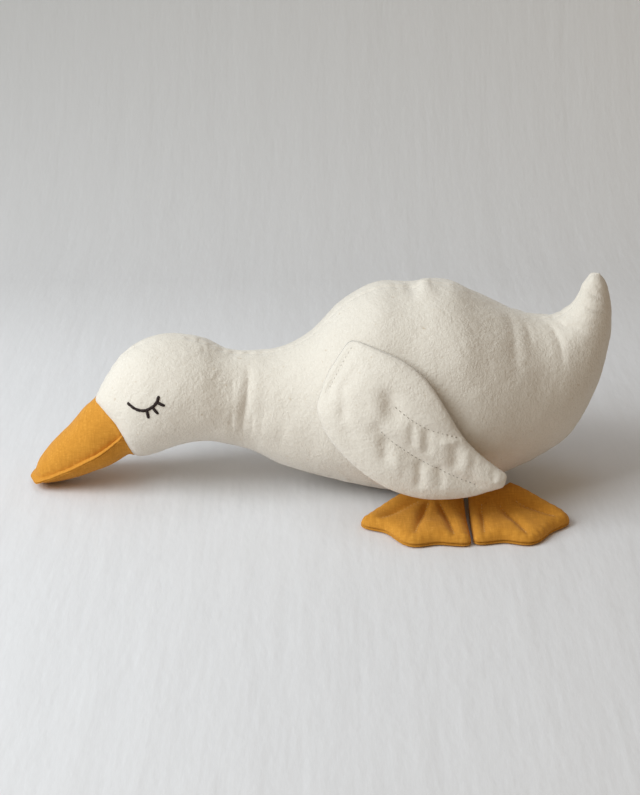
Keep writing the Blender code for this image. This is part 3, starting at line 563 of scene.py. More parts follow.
beak_points, beak_middles, seam_height, beak_turns = [], [], [], []
for share in np.linspace(1, 0, SEAM_RINGS + 1)[:-1]:
    start = seam_rise[0] + share * SEAM_LIFT
    turn = ring_turns(start, half_height[0])
    beak_turns.append(math.pi / 2 - turn)
    place = share * beak_seam_place(beak_turns[-1])
    beak_points.append(oval_points(body_rows, place, math.pi / 2 - turn))
    beak_middles.append(read_rows(body_rows, place.mean())[0] @ ROW_MIDDLE)
    seam_height.append((np.sin(turn) - math.sin(start)) * half_height[0])
for k in range(BEAK_RINGS):
    turn = ring_turns(seam_rise[k], half_height[k])
    beak_turns.append(math.pi / 2 - turn)
    line = beak_line[k]
    middle = np.array(((line[0] + line[2]) / 2, 0, (line[1] + line[3]) / 2))
    up = np.array((line[0] - line[2], 0, line[1] - line[3]))
    up = up / max(np.linalg.norm(up), 1e-9) if k < BEAK_RINGS - 1 else beak_up
    ring = middle + np.outer(np.sin(turn) * half_height[k], up)
    ring[:, 1] -= np.cos(turn) * max(line[4], 0)
    beak_points.append(ring)
    beak_middles.append(middle)
    seam_height.append((np.sin(turn) - math.sin(seam_rise[k])) * half_height[k])
beak_points, beak_middles, seam_height = np.array(beak_points), np.array(beak_middles), np.array(seam_height)
ring_numbers = np.arange(len(beak_points))
ease = np.clip(1 - np.abs(ring_numbers - SEAM_RINGS) / EASE_RINGS, 0, 1)[1:-1, None, None]
for _ in range(60):
    level = (beak_points[:-2] + 2 * beak_points[1:-1] + beak_points[2:]) / 4
    beak_points[1:-1] += (level - beak_points[1:-1]) * ease
ring_inward = (beak_middles[:, None] - beak_points).reshape(-1, 3)
ring_inward /= np.maximum(np.linalg.norm(ring_inward, axis=1), 1e-6)[:, None]
widths = np.maximum(beak_line[:, 4], 0)
middles = (beak_line[:, :2] + beak_line[:, 2:4]) / 2
run = np.linalg.norm(np.gradient(middles, axis=0), axis=1)
narrowing = -np.gradient(widths)
slant = np.hypot(run, narrowing)
ahead, aside = narrowing / slant, run / slant
ahead[-1], aside[-1] = 1, 0
ahead = np.concatenate((np.full(SEAM_RINGS, ahead[0]), ahead))
aside = np.concatenate((np.full(SEAM_RINGS, aside[0]), aside))
widths = np.abs(beak_points[:, :, 1]).max(1)
lip = np.clip((LIP_HALF + 0.50 - np.abs(seam_height) / MM) / 0.50, 0, 1)
lip = lip * lip * (3 - 2 * lip)
lip -= 0.22 * np.exp(-((seam_height / MM / 0.28) ** 2))
from_seam = np.cumsum(np.linalg.norm(np.diff(beak_points, axis=0, prepend=beak_points[:1]), axis=2), axis=0)
grown = np.clip(from_seam / 0.0035, 0, 1)
lip *= LIP_REACH * MM * (0.25 + 0.75 * grown)
sideways = np.sign(beak_points[:, :, 1]) * np.minimum(np.abs(beak_points[:, :, 1]) / np.maximum(widths[:, None], 1e-5), 1)
flat_points = beak_points.reshape(-1, 3)
uneven = 1 + 0.10 * waves(flat_points, 0.010, 11).reshape(lip.shape)
beak_points = beak_points + (lip * uneven * ahead[:, None])[:, :, None] * beak_along
beak_points[:, :, 1] += lip * uneven * aside[:, None] * sideways
rings, columns = beak_points.shape[:2]
flat_points = beak_points.reshape(-1, 3)
caps = np.array((beak_base - beak_along * HEM_DEPTH * 3, beak_points[-1].mean(0)))
beak = sewn_mesh("beak", np.concatenate((flat_points, caps)), ring_faces(rings, columns))
turn_faces_out(beak)
outward = point_array(beak, "normals")[: len(flat_points)]
beak_rise = 0.35 * waves(flat_points, 0.017, 12) + 0.12 * waves(flat_points, 0.007, 13)
lip_near = np.exp(-((np.abs(seam_height).ravel() / MM - 2.4) ** 2) / 2.5)
beak_rise += 0.22 * lip_near * np.cos(2 * math.pi * (flat_points @ beak_along) / 0.0065 + 2 * waves(flat_points, 0.02, 14))
beak_rise *= MM * (1 - 0.8 * np.exp(-((np.abs(seam_height).ravel() / MM) ** 2)))
drawn = 0.15 * np.exp(-((from_seam / 0.0011) ** 2)) + 0.85 * np.exp(-((from_seam / 0.0125) ** 2))
drawn *= beak_seam_draw(np.array(beak_turns))
beak_rise *= 1 - np.exp(-((from_seam.ravel() / 0.0030) ** 2))
flat_points = flat_points + outward * beak_rise[:, None] + ring_inward * drawn.reshape(-1, 1)
flat_points[:, 2] = np.maximum(flat_points[:, 2], FLOOR_GAP)
place_points(beak, np.concatenate((flat_points, caps)))
turn_faces_out(beak, 1e-6)


def mustard_cotton(name):
    """Dyed plain-weave cotton: crossed threads with thicker slubs, a little worn on what stands out."""
    made, wire, shader = begin_material(name, sheen=0.08, sheen_rough=0.4, specular=0.2)
    patches = wire.noise(0.030, 2.0)
    slubs = wire.noise(0.0011, 2.0, 0.6, (0.16, 1.0, 1.0)) * 0.5
    slubs = slubs + wire.noise(0.0011, 2.0, 0.6, (1.0, 0.16, 0.16)) * 0.5
    grain = wire.noise(0.0007, 2.0, 0.6)
    colour = patches.mixed((0.735, 0.345, 0.048, 1), (0.660, 0.290, 0.034, 1))
    # Painted shade: the weave is painted darker where the slubs' relief lies low, between the threads.
    colour = ((slubs - 0.36) * 2.6).limited().mixed((0.545, 0.228, 0.026, 1), colour)
    worn = ((slubs - 0.58) * 5).limited() * 0.5
    colour = worn.mixed(colour, (0.78, 0.42, 0.10, 1))
    height = slubs * 0.55 + grain * 0.45
    finish_material(wire, shader, colour, 0.78 + 0.18 * grain, height, 0.00034)
    return made


mustard = mustard_cotton("mustard_cotton")
beak.data.materials.append(mustard)
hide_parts("upper_beak", "lower_beak", "beak_stuffing")
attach(beak, "head")

# Eyes
# Closed eyes embroidered by hand in dark brown thread, a lid line of overlapping back stitches and three
# lashes of one long stitch each, pulled snug into the side of the head.

EYE_WIDTH, STITCH_WIDTH = 0.0248, 0.0021
EYE_PLACE = (NECK_X - 0.773 * HEAD_LENGTH, 0.706 * HEAD_HEIGHT)
LID_SHARES = (
    (0.015, -0.130),
    (0.135, -0.210),
    (0.320, -0.283),
    (0.510, -0.262),
    (0.660, -0.172),
    (0.795, -0.045),
    (0.858, 0.140),
)
LASHES = ((3.15, (0.572, -0.490)), (4.15, (0.835, -0.340)), (5.15, (1.013, -0.108)))
LID_STITCHES = 8


def surface_tree(piece):
    return BVHTree.FromObject(piece, bpy.context.evaluated_depsgraph_get())


def on_surface(tree, x, z, side):
    """The skin's point and outward direction at a place of the side view."""
    spot, outward = tree.ray_cast(Vector((x, side, z)), Vector((0, -side, 0)))[:2]
    return np.array(spot), np.array(outward)


def stitch(line, outwards, width, proud, sunk, sides=8, steps=9):
    """One stitch of twisted thread along a short line, whose ends go down into the cloth."""
    stops = np.linspace(0, len(line) - 1, steps)
    whole = np.arange(len(line))
    path = np.stack([np.interp(stops, whole, line[:, k]) for k in range(3)], 1)
    up = np.stack([np.interp(stops, whole, outwards[:, k]) for k in range(3)], 1)
    up /= np.linalg.norm(up, axis=1)[:, None]
    share = np.linspace(0, 1, steps)
    bow = 1 - (2 * share - 1) ** 4
    path = path + up * (proud * bow - sunk * (1 - bow))[:, None]
    run = np.gradient(path, axis=0)
    run /= np.linalg.norm(run, axis=1)[:, None]
    across = np.cross(run, up)
    across /= np.linalg.norm(across, axis=1)[:, None]
    lift = np.cross(across, run)
    points = []
    for k in range(steps):
        plump = width / 2 * (0.72 + 0.28 * bow[k])
        for turn in np.arange(sides) * 2 * math.pi / sides:
            points.append(path[k] + across[k] * plump * math.cos(turn) + lift[k] * plump * 0.7 * math.sin(turn))
    points += [path[0], path[-1]]
    return np.array(points), ring_faces(steps, sides)


def join_stitches(name, stitches, look):
    """Many stitches in one object."""
    points, faces = [], []
    for corners, sheets in stitches:
        first = sum(len(part) for part in points)
        points.append(corners)
        faces += [tuple(first + k for k in face) for face in sheets]
    made = sewn_mesh(name, np.concatenate(points), faces)
    turn_faces_out(made)
    made.data.materials.append(look)
    return made


def twisted_thread(name, light, dark):
    """Cotton thread: fine fibres with a satin shine, painted darker as painted shade in the low gaps between them."""
    made, wire, shader = begin_material(name, specular=0.25)
    fibres = wire.noise(0.0006, 2.0, 0.6, (0.4, 1.0, 1.0))
    # Painted shade: the colour goes to the dark tone where the fibres' relief is low.
    colour = fibres.mixed(dark, light)
    finish_material(wire, shader, colour, 0.55 + 0.25 * fibres, fibres, 0.0003)
    return made


brown_thread = twisted_thread("brown_thread", (0.032, 0.017, 0.013, 1), (0.012, 0.006, 0.005, 1))
skin_tree = surface_tree(skin)


def eye_stitch(side, first, last):
    """A stitch from one place of the eye's drawing to another, in shares of its width."""
    shares = np.linspace(first, last, 5)
    found = [on_surface(skin_tree, EYE_PLACE[0] + a * EYE_WIDTH, EYE_PLACE[1] + b * EYE_WIDTH, side) for a, b in shares]
    line, outwards = (np.array([pair[k] for pair in found]) for k in (0, 1))
    return stitch(line, outwards, STITCH_WIDTH, 0.00025, 0.0007)


for word, side in (("left", -1), ("right", 1)):
    stitches = []
    stops = np.linspace(0, len(LID_SHARES) - 1, LID_STITCHES + 1)
    for start, end in zip(stops, stops[1:]):
        overlap = 0.08 * (stops[1] - stops[0])
        lid = read_rows(LID_SHARES, [max(start - overlap, 0), min(end + overlap, stops[-1])])
        stitches.append(eye_stitch(side, lid[0], lid[1]))
    for place, tip in LASHES:
        stitches.append(eye_stitch(side, read_rows(LID_SHARES, place)[0], np.array(tip)))
    eye = join_stitches(f"eye_{word}_stitches", stitches, brown_thread)
    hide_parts(f"eye_{word}")
    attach(eye, "head")

# Wings
# Two layers of the flannel sewn together, turned and filled flat with wadding, then quilted with two rows of
# running stitch. Each wing is topstitched to the flank near its front edge and hangs free elsewhere.

WING_LENGTH, WING_WIDTH = 0.1257, 0.078
WING_SLOPE = math.radians(31.7)
WING_SEAM = (NECK_X + 0.305 * TORSO_LENGTH, 0.720 * TORSO_HEIGHT)
TORSO_START, TAIL_START, HUG_SHARE = 7.8, 16.0, 0.15
WING_UPPER_SHARES = (
    (-0.028, 0.046),
    (-0.025, -0.122),
    (-0.012, -0.242),
    (0.060, -0.315),
    (0.199, -0.382),
    (0.316, -0.390),
    (0.421, -0.352),
    (0.541, -0.259),
    (0.681, -0.142),
    (0.784, -0.088),
    (0.901, -0.054),
    (0.990, -0.042),
)
WING_LOWER_SHARES = (
    (-0.024, 0.110),
    (-0.014, 0.190),
    (0.003, 0.300),
    (0.032, 0.390),
    (0.149, 0.508),
    (0.291, 0.572),
    (0.438, 0.594),
    (0.559, 0.578),
    (0.696, 0.510),
    (0.809, 0.400),
    (0.912, 0.265),
    (1.016, 0.070),
)
WING_ROOT_SPAN = (-0.255, 0.187)
WING_RIM, WING_PUFF, WING_PUFF_REACH = 1.8, 5.2, 7.5
# The free end stands this far off the flank, and up by a share of it
WING_LIFT, WING_RISE_SHARE = 0.0080, 0.44
QUILT_ROWS = (
    (
        *((0.300, -0.064), (0.366, -0.058), (0.436, -0.056), (0.490, -0.059)),
        *((0.531, -0.070), (0.595, -0.100), (0.656, -0.122)),
    ),
    (
        *((0.307, 0.160), (0.370, 0.185), (0.467, 0.196), (0.562, 0.202)),
        *((0.675, 0.191), (0.793, 0.173), (0.894, 0.151)),
    ),
)
ROOT_STITCHING = ((0.002, -0.235), (0.000, -0.100), (0.006, 0.060), (0.012, 0.190))
# Hollows and folds in the quilted face: two ends by shares, depth and width in millimetres
WING_FOLDS = (
    ((0.262, -0.110), (0.315, -0.015), 3.2, 6.8),
    ((0.060, -0.150), (0.055, 0.060), 1.5, 3.4),
    ((0.055, 0.060), (0.120, 0.230), 1.5, 3.8),
    ((0.120, 0.230), (0.200, 0.330), 0.9, 4.2),
    ((0.370, 0.235), (0.405, 0.315), 2.2, 4.6),
    ((0.515, -0.030), (0.560, 0.090), 1.3, 3.0),
    ((0.430, -0.005), (0.475, 0.105), 0.9, 2.2),
    ((0.470, -0.020), (0.515, 0.100), -0.35, 2.2),
    ((0.675, -0.040), (0.717, 0.065), 2.3, 4.0),
    ((0.580, 0.245), (0.625, 0.375), 1.7, 3.0),
    ((0.675, 0.185), (0.720, 0.290), 1.2, 2.8),
    ((0.630, 0.240), (0.670, 0.340), -0.2, 2.4),
    ((0.615, -0.050), (0.655, -0.085), -1.5, 2.5),
    ((0.655, -0.085), (0.700, -0.120), -1.5, 2.5),
    ((0.725, -0.100), (0.770, 0.020), -1.2, 2.8),
    ((0.450, 0.280), (0.500, 0.390), -0.5, 3.2),
    ((0.120, 0.310), (0.250, 0.420), 0.6, 5.0),
    ((0.800, 0.010), (0.840, 0.110), 0.8, 3.0),
    ((0.905, -0.050), (0.935, 0.040), 0.7, 1.6),
    ((0.938, -0.050), (0.965, 0.030), -0.4, 1.3),
    ((0.972, -0.040), (0.992, 0.020), 0.5, 1.3),
)


def section_reach(x, z):
    """How far the torso reaches sideways at places of the side view. Below its widest level the wing hangs
    almost straight down and follows only a share of the torso's retreat."""
    low, high = np.full(len(x), TORSO_START), np.full(len(x), TAIL_START)
    for _ in range(26):
        half = (low + high) / 2
        line = read_rows(body_rows, half)
        middle = (line[:, :2] + line[:, 2:4]) / 2
        up = line[:, :2] - line[:, 2:4]
        past = (x - middle[:, 0]) * up[:, 1] - (z - middle[:, 1]) * up[:, 0] > 0
        low, high = np.where(past, half, low), np.where(past, high, half)
    line = read_rows(body_rows, (low + high) / 2)
    middle = (line[:, :2] + line[:, 2:4]) / 2
    up = (line[:, :2] - line[:, 2:4]) / 2
    rise = ((x - middle[:, 0]) * up[:, 0] + (z - middle[:, 1]) * up[:, 1]) / (up**2).sum(1)
    reach = line[:, 4] * np.sqrt(np.maximum(1 - rise**2, 0))
    return np.where(rise < 0, line[:, 4] - HUG_SHARE * (line[:, 4] - reach), reach)


widest_place = max(np.linspace(TORSO_START, TAIL_START, 200), key=lambda place: read_rows(body_rows, place)[0, 4])
widest_x = read_rows(body_rows, widest_place)[0, [0, 2]].mean()


def wing_side_view(plane):
    """x and z of points in the wing's plane, which are along and down in metres."""
    along, down = plane[:, 0], plane[:, 1]
    x = WING_SEAM[0] + along * math.cos(WING_SLOPE) - down * math.sin(WING_SLOPE)
    z = WING_SEAM[1] - along * math.sin(WING_SLOPE) - down * math.cos(WING_SLOPE)
    return x, z


def wing_place(plane, height, side):
    """Points on or over the wing's inner face, at a height outward from it."""
    x, z = wing_side_view(plane)
    reach = section_reach(np.minimum(x, widest_x), z)
    down = plane[:, 1] / WING_WIDTH
    past = np.maximum(np.maximum(WING_ROOT_SPAN[0] - down, down - WING_ROOT_SPAN[1]), 0)
    reach = reach + 0.0012 + 0.0020 * (1 - np.exp(-past / 0.1))
    lift = WING_LIFT * np.clip(plane[:, 0] / WING_LENGTH, 0, 1) ** 1.3
    return np.stack((x, side * (reach + height + lift), z + WING_RISE_SHARE * lift), 1)


def even_loop(corners, step):
    """Points at even steps round a closed line."""
    closed = np.concatenate((corners, corners[:1]))
    run = np.concatenate(([0], np.cumsum(np.linalg.norm(np.diff(closed, axis=0), axis=1))))
    count = int(run[-1] / step)
    stops = np.arange(count) * run[-1] / count
    return np.stack([np.interp(stops, run, closed[:, k]) for k in range(2)], 1)


def softened(loop, passes):
    """A closed line with its corners rounded."""
    for _ in range(passes):
        loop = loop / 2 + (np.roll(loop, 1, 0) + np.roll(loop, -1, 0)) / 4
    return loop


def edge_distance(plane, loop):
    """Distance of each point from a closed line of many points."""
    closed = np.concatenate((loop, loop[:1]))
    return line_reach(plane, closed)[0]


RIM_STEPS = (0.10, 0.35, 0.75, 1.25, 1.85, 2.6)


def inward_steps(loop):
    """The direction in from each point of a closed line."""
    run = np.roll(loop, -1, 0) - np.roll(loop, 1, 0)
    run /= np.linalg.norm(run, axis=1)[:, None]
    turned = np.stack((-run[:, 1], run[:, 0]), 1)
    area = np.sum(loop[:, 0] * np.roll(loop[:, 1], -1) - np.roll(loop[:, 0], -1) * loop[:, 1])
    return turned if area > 0 else -turned


def seam_drawn_in(plane, loop, depth):
    """The same points, with those of the outline drawn in where the seam pulls the two layers together."""
    moved = plane.copy()
    inward = inward_steps(loop)
    for k in np.flatnonzero(edge_distance(plane, loop) < 1e-6):
        moved[k] += inward[np.argmin(np.linalg.norm(loop - plane[k], axis=1))] * depth
    return moved


def flap_plane(loop, step):
    """Points and triangles that fill a flap's outline: the outline itself, closer rows just inside it and
    evenly spaced points in the middle."""
    inward = inward_steps(loop)
    rows = [loop]
    for depth in RIM_STEPS:
        row = loop + inward * depth * MM
        rows.append(row[edge_distance(row, loop) > 0.94 * depth * MM])
    low, high = loop.min(0), loop.max(0)
    across = np.arange(low[0], high[0], step)
    down = np.arange(low[1], high[1], step * math.sqrt(0.75))
    grid = np.array([(x + step / 2 * (j % 2), y) for j, y in enumerate(down) for x in across])
    tree_loop = np.concatenate((loop, loop[:1]))
    crossings = np.zeros(len(grid), int)
    for start, end in zip(tree_loop, tree_loop[1:]):
        spans = (start[1] > grid[:, 1]) != (end[1] > grid[:, 1])
        if start[1] != end[1]:
            meet = start[0] + (grid[:, 1] - start[1]) / (end[1] - start[1]) * (end[0] - start[0])
            crossings += spans & (grid[:, 0] < meet)
    grid = grid[crossings % 2 == 1]
    grid = grid[edge_distance(grid, loop) > (RIM_STEPS[-1] + 0.6) * MM]
    plane = np.concatenate(rows + [grid])
    count = len(loop)
    edges = [(k, (k + 1) % count) for k in range(count)]
    scaled = [Vector(point) for point in (plane * 1000).tolist()]
    found, _, faces = delaunay_2d_cdt(scaled, edges, [], 1, 1e-5)[:3]
    return np.array([tuple(point) for point in found]) / 1000, [tuple(face) for face in faces]


def round_rim(edge, radius):
    """A quarter round from the edge inward, from 0 to 1."""
    share = np.clip(edge / radius, 0, 1)
    return np.sqrt(1 - (1 - share) ** 2)


def flap_mesh(name, plane, faces, on_edge, top, under):
    """A closed flap from its upper and lower points, which share the points of its edge."""
    inside = np.flatnonzero(~on_edge)
    lower_index = np.arange(len(plane))
    lower_index[inside] = len(plane) + np.arange(len(inside))
    lower = [tuple(int(lower_index[k]) for k in face[::-1]) for face in faces]
    made = sewn_mesh(name, np.concatenate((top, under[inside])), list(faces) + lower)
    turn_faces_out(made)
    return made


wing_scale = np.array((WING_LENGTH, WING_WIDTH))
steps = np.linspace(0, len(WING_UPPER_SHARES) - 1, 160)
upper_edge = read_rows(WING_UPPER_SHARES, steps) * wing_scale
lower_edge = read_rows(WING_LOWER_SHARES, steps) * wing_scale
wing_loop = even_loop(np.concatenate((upper_edge, lower_edge[::-1])), 0.0004)
wing_loop = even_loop(softened(wing_loop, 34), 0.0009)
wing_plane, wing_faces = flap_plane(wing_loop, 0.00125)
quilting = [np.array(row) * wing_scale for row in QUILT_ROWS]
quilting = [read_rows(row, np.linspace(0, len(row) - 1, 40)) for row in quilting]
root_line = read_rows(np.array(ROOT_STITCHING) * wing_scale, np.linspace(0, 3, 24))
STITCH_STEP, STITCH_LENGTH, STITCH_THICKNESS = 0.0030, 0.0016, 0.00070


def wing_height(plane):
    """How far the outer face stands over the wing's inner face."""
    edge = edge_distance(plane, wing_loop)
    pad = 1 - np.exp(-edge / (WING_PUFF_REACH * MM))
    far = np.stack((plane[:, 0], plane[:, 1], np.zeros(len(plane))), 1)
    drawn = np.ones(len(plane))
    groove = np.zeros(len(plane))
    for row in quilting:
        reach, along = line_reach(plane, row)
        drawn -= 0.42 * np.exp(-((reach / (5.5 * MM)) ** 2))
        beat = np.cos(2 * math.pi * along * np.linalg.norm(np.diff(row, axis=0), axis=1).sum() / STITCH_STEP)
        groove += (0.45 + 0.18 * beat) * valley(reach, 1.0 * MM)
    reach, _ = line_reach(plane, root_line)
    drawn -= 0.75 * np.exp(-((reach / (2.6 * MM)) ** 2))
    groove += 0.7 * valley(reach, 0.8 * MM)
    height = WING_PUFF * pad * np.maximum(drawn, 0.04)
    for start, end, depth, width in WING_FOLDS:
        reach, _ = line_reach(plane, np.array((start, end)) * wing_scale)
        height -= depth * np.exp(-((reach / (width * MM)) ** 2)) * pad
    soft = np.clip(edge / (4 * MM), 0, 1)
    height += soft * (0.40 * waves(far, 0.024, 21) + 0.06 * waves(far, 0.007, 22))
    height -= np.clip(edge / (1.2 * MM), 0, 1) * groove
    rim = np.exp(-(((edge / MM - 3.2) / 2.4) ** 2))
    beat = line_reach(plane, np.concatenate((wing_loop, wing_loop[:1])))[1] * len(wing_loop) * 0.9 / 7.5
    height += 0.09 * rim * np.cos(2 * math.pi * beat + 1.5 * waves(far, 0.03, 23))
    height = np.maximum(height, 0.1)
    return (WING_RIM * (1 + round_rim(edge, WING_RIM * MM)) + height) * MM


def running_stitches(line, surface, step, length, width, proud=0.0001, sunk=0.0006):
    """Stitches at even steps along a line in a flap's plane, laid on the surface that surface() gives."""
    run = np.concatenate(([0], np.cumsum(np.linalg.norm(np.diff(line, axis=0), axis=1))))
    made = []
    for start in np.arange(step / 2, run[-1] - length, step):
        stops = np.linspace(start, start + length, 5)
        plane = np.stack([np.interp(stops, run, line[:, k]) for k in range(2)], 1)
        aside = np.array((-(line[-1] - line[0])[1], (line[-1] - line[0])[0]))
        aside /= np.linalg.norm(aside)
        here, beside = surface(plane), surface(plane + aside * 0.0003)
        along = np.gradient(here, axis=0)
        outwards = np.cross(along, beside - here)
        outwards /= np.linalg.norm(outwards, axis=1)[:, None]
        made.append((here, outwards, width, proud, sunk))
    return made


wing_edge_distance = edge_distance(wing_plane, wing_loop)
wing_on_edge = wing_edge_distance < 1e-6
wing_seam_plane = seam_drawn_in(wing_plane, wing_loop, 0.0005)
# The quilting thread is painted grey-brown, darker than the cream thread it is, as painted shade of the needle holes
# and the thread's shadows between stitches.
quilting_thread_painted_shade = twisted_thread("quilting_thread_painted_shade", (0.46, 0.41, 0.34, 1), (0.30, 0.26, 0.21, 1))
cream_thread = twisted_thread("cream_thread", (0.80, 0.76, 0.68, 1), (0.62, 0.57, 0.49, 1))
for word, side in (("left", -1), ("right", 1)):
    top = wing_place(wing_plane, wing_height(wing_plane), side)
    under = wing_place(wing_plane, WING_RIM * (1 - round_rim(wing_edge_distance, WING_RIM * MM)) * MM, side)
    middle = wing_place(wing_seam_plane, np.full(len(wing_plane), WING_RIM * MM), side)
    top[wing_on_edge] = middle[wing_on_edge]
    wing = flap_mesh(f"{word}_wing", wing_plane, wing_faces, wing_on_edge, top, under)
    wing.data.materials.append(cream_flannel)
    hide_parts(f"{word}_wing_outer", f"{word}_wing_lining", f"{word}_wing_wadding")
    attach(wing, f"wing_{word}")
    for part, rows, look in (("quilting", quilting, quilting_thread_painted_shade), ("topstitching", [root_line], cream_thread)):
        stitches = []
        for row in rows:
            laid = running_stitches(
                row, lambda plane: wing_place(plane, wing_height(plane), side), STITCH_STEP, STITCH_LENGTH, STITCH_THICKNESS
            )
            for here, outwards, width, proud, sunk in laid:
                stitches.append(stitch(here, outwards * np.sign(outwards[:, 1:2] * side), width, proud, sunk, 6, 7))
        stitching = join_stitches(f"{word}_wing_{part}", stitches, look)
        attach(stitching, f"wing_{word}")

# Feet
# Webbed feet of two layers of mustard cotton, sewn, turned and lightly filled. A row of stitches along each
# toe draws the web in, and each foot is sewn by its ankle into the belly seam on the left side.

FOOT_LENGTH, ANKLE_WIDTH, ANKLE_OFFSET = 0.0602, 0.036, 0.0195
FOOT_TURN = math.radians(19.0)
FEET_DIVIDE = NECK_X + 0.750 * TORSO_LENGTH
# Turn from the middle toe in degrees, reach, and place on the ankle
FOOT_SHARES = {
    "front": (
        (41.5, 0.860, 1.000),
        (36.5, 0.985, 0.360),
        (17.5, 0.915, 0.170),
        (0.0, 1.010, 0.000),
        (-21.0, 0.875, -0.170),
        (-39.0, 0.975, -0.380),
        (-46.0, 0.790, -1.080),
    ),
    "rear": (
        (39.5, 0.850, 1.000),
        (35.0, 0.970, 0.360),
        (17.5, 0.890, 0.170),
        (0.0, 0.990, 0.000),
        (-21.0, 0.875, -0.170),
        (-40.0, 0.905, -0.380),
        (-47.0, 0.770, -0.640),
    ),
}
ANKLES = {"front": (0.0368, 0.0117), "rear": (0.0357, 0.0130)}
FOOT_RIM, FOOT_PUFF, FOOT_PUFF_REACH, FOOT_FLAT = 2.0, 5.0, 3.0, 0.45
# The outer corner of the rear ankle is sewn higher up the belly
CORNER_LIFT = {"front": 0.0, "rear": 0.0045}
# The rows of stitches from ankle to toe, each across and along in shares of the foot's length
TOE_LINES = {
    "front": (
        ((-0.028, 0.244), (-0.080, 0.388), (-0.124, 0.631), (-0.152, 0.870)),
        ((0.080, 0.210), (0.112, 0.302), (0.184, 0.536), (0.254, 0.810)),
        ((0.170, 0.210), (0.290, 0.270), (0.432, 0.369), (0.600, 0.515)),
    ),
    "rear": (
        ((-0.160, 0.250), (-0.166, 0.400), (-0.165, 0.555), (-0.175, 0.840)),
        ((0.020, 0.272), (0.097, 0.403), (0.181, 0.618), (0.270, 0.850)),
        ((0.187, 0.236), (0.303, 0.303), (0.477, 0.384), (0.610, 0.495)),
    ),
}


def foot_plane_points(foot, places, share):
    """Points of the foot's plan by place round its outline and share of the way from the ankle."""
    turn, reach, root = read_rows(FOOT_SHARES[foot], places).T
    angle = FOOT_TURN - np.radians(turn)
    root_x = -root * ANKLE_WIDTH / 2
    front = reach * FOOT_LENGTH
    x = root_x + (front * np.sin(angle) - root_x) * share
    return np.stack((x, front * np.cos(angle) * share), 1)


def foot_outline(foot):
    """The closed line round the foot's plan."""
    last = len(FOOT_SHARES[foot]) - 1.0
    front_edge = foot_plane_points(foot, np.linspace(0, last, 300), np.ones(300))
    inner_edge = foot_plane_points(foot, np.zeros(30), np.linspace(-0.05, 1, 30))
    outer_edge = foot_plane_points(foot, np.full(30, last), np.linspace(1, -0.05, 30))
    loop = even_loop(np.concatenate((inner_edge, front_edge[1:-1], outer_edge)), 0.0004)
    return even_loop(softened(loop, 36), 0.0008)


def toe_line(points):
    """One row of stitches along a toe."""
    return read_rows(np.array(points) * FOOT_LENGTH, np.linspace(0, len(points) - 1, 20))


def foot_height(plane, loop, lines):
    """How far the top of the foot stands over its sole, in metres."""
    edge = edge_distance(plane, loop)
    pad = 1 - np.exp(-edge / (FOOT_PUFF_REACH * MM))
    far = np.stack((plane[:, 0], plane[:, 1], np.zeros(len(plane))), 1)
    drawn, groove = np.ones(len(plane)), np.zeros(len(plane))
    for line in lines:
        reach, along = line_reach(plane, line)
        ends = np.sin(math.pi * np.clip(0.12 + 0.80 * along, 0, 1)) ** 0.5
        drawn -= 0.55 * ends * np.exp(-((reach / (3.2 * MM)) ** 2))
        groove += 0.75 * ends * valley(reach, 0.85 * MM)
    height = FOOT_PUFF * pad * np.maximum(drawn, 0.15) - groove * pad
    rim = np.exp(-(((edge / MM - 2.6) / 2.0) ** 2))
    beat = line_reach(plane, np.concatenate((loop, loop[:1])))[1] * len(loop) * 0.8 / 6.0
    height += 0.22 * rim * np.cos(2 * math.pi * beat + 1.5 * waves(far, 0.03, 31))
    height += np.clip(edge / (4 * MM), 0, 1) * (0.35 * waves(far, 0.016, 32) + 0.10 * waves(far, 0.007, 33))
    height = np.maximum(height, 0.1)
    return (FOOT_RIM * (1 + round_rim(edge, FOOT_RIM * MM)) + height) * MM


def foot_place(plane, height, foot, side):
    """Points of one foot from its plan and a height over its sole, which rises to the ankle."""
    out, up = ANKLES[foot]
    fall = np.clip(plane[:, 1] / (FOOT_FLAT * FOOT_LENGTH), 0, 1)
    sole = (up - 0.0035) * (1 - fall) ** 2 * (1 + 2 * fall)
    sole += CORNER_LIFT[foot] * (1 - fall) ** 2 * np.clip(plane[:, 0] / 0.010, 0, 1) ** 2
    thin = 1 - 0.45 * (1 - fall) ** 2
    middle = FEET_DIVIDE + side * ANKLE_OFFSET
    return np.stack((middle + side * plane[:, 0], -out - plane[:, 1], FLOOR_GAP + sole + height * thin), 1)


mustard_thread = twisted_thread("mustard_thread", (0.78, 0.46, 0.16, 1), (0.52, 0.26, 0.06, 1))
for word, side in (("front", -1), ("rear", 1)):
    loop = foot_outline(word)
    plane, faces = flap_plane(loop, 0.0011)
    lines = [toe_line(points) for points in TOE_LINES[word]]
    from_edge = edge_distance(plane, loop)
    on_edge = from_edge < 1e-6
    top = foot_place(plane, foot_height(plane, loop, lines), word, side)
    under = foot_place(plane, (1 - round_rim(from_edge, FOOT_RIM * MM)) * FOOT_RIM * MM, word, side)
    drawn_in = seam_drawn_in(plane, loop, 0.0015)
    top[on_edge] = foot_place(drawn_in, np.full(len(plane), FOOT_RIM * MM), word, side)[on_edge]
    foot = flap_mesh(f"{word}_foot", plane, faces, on_edge, top, under)
    foot.data.materials.append(mustard)
    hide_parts(f"{word}_foot_top", f"{word}_foot_sole", f"{word}_foot_wadding")
    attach(foot, f"foot_{word}")
    stitches = []
    for line in lines:
        laid = running_stitches(
            line, lambda spots: foot_place(spots, foot_height(spots, loop, lines), word, side), 0.0026, 0.0019, 0.0008
        )
        for here, outwards, width, proud, sunk in laid:
            stitches.append(stitch(here, outwards * np.sign(outwards[:, 2:3]), width, proud, sunk, 6, 7))
    stitching = join_stitches(f"{word}_foot_stitches", stitches, mustard_thread)
    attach(stitching, f"foot_{word}")

# Floor, light and camera
# A pale cotton sweep under and behind the duck, a large window light from the upper left and a camera at
# the height of someone who sits at the table.

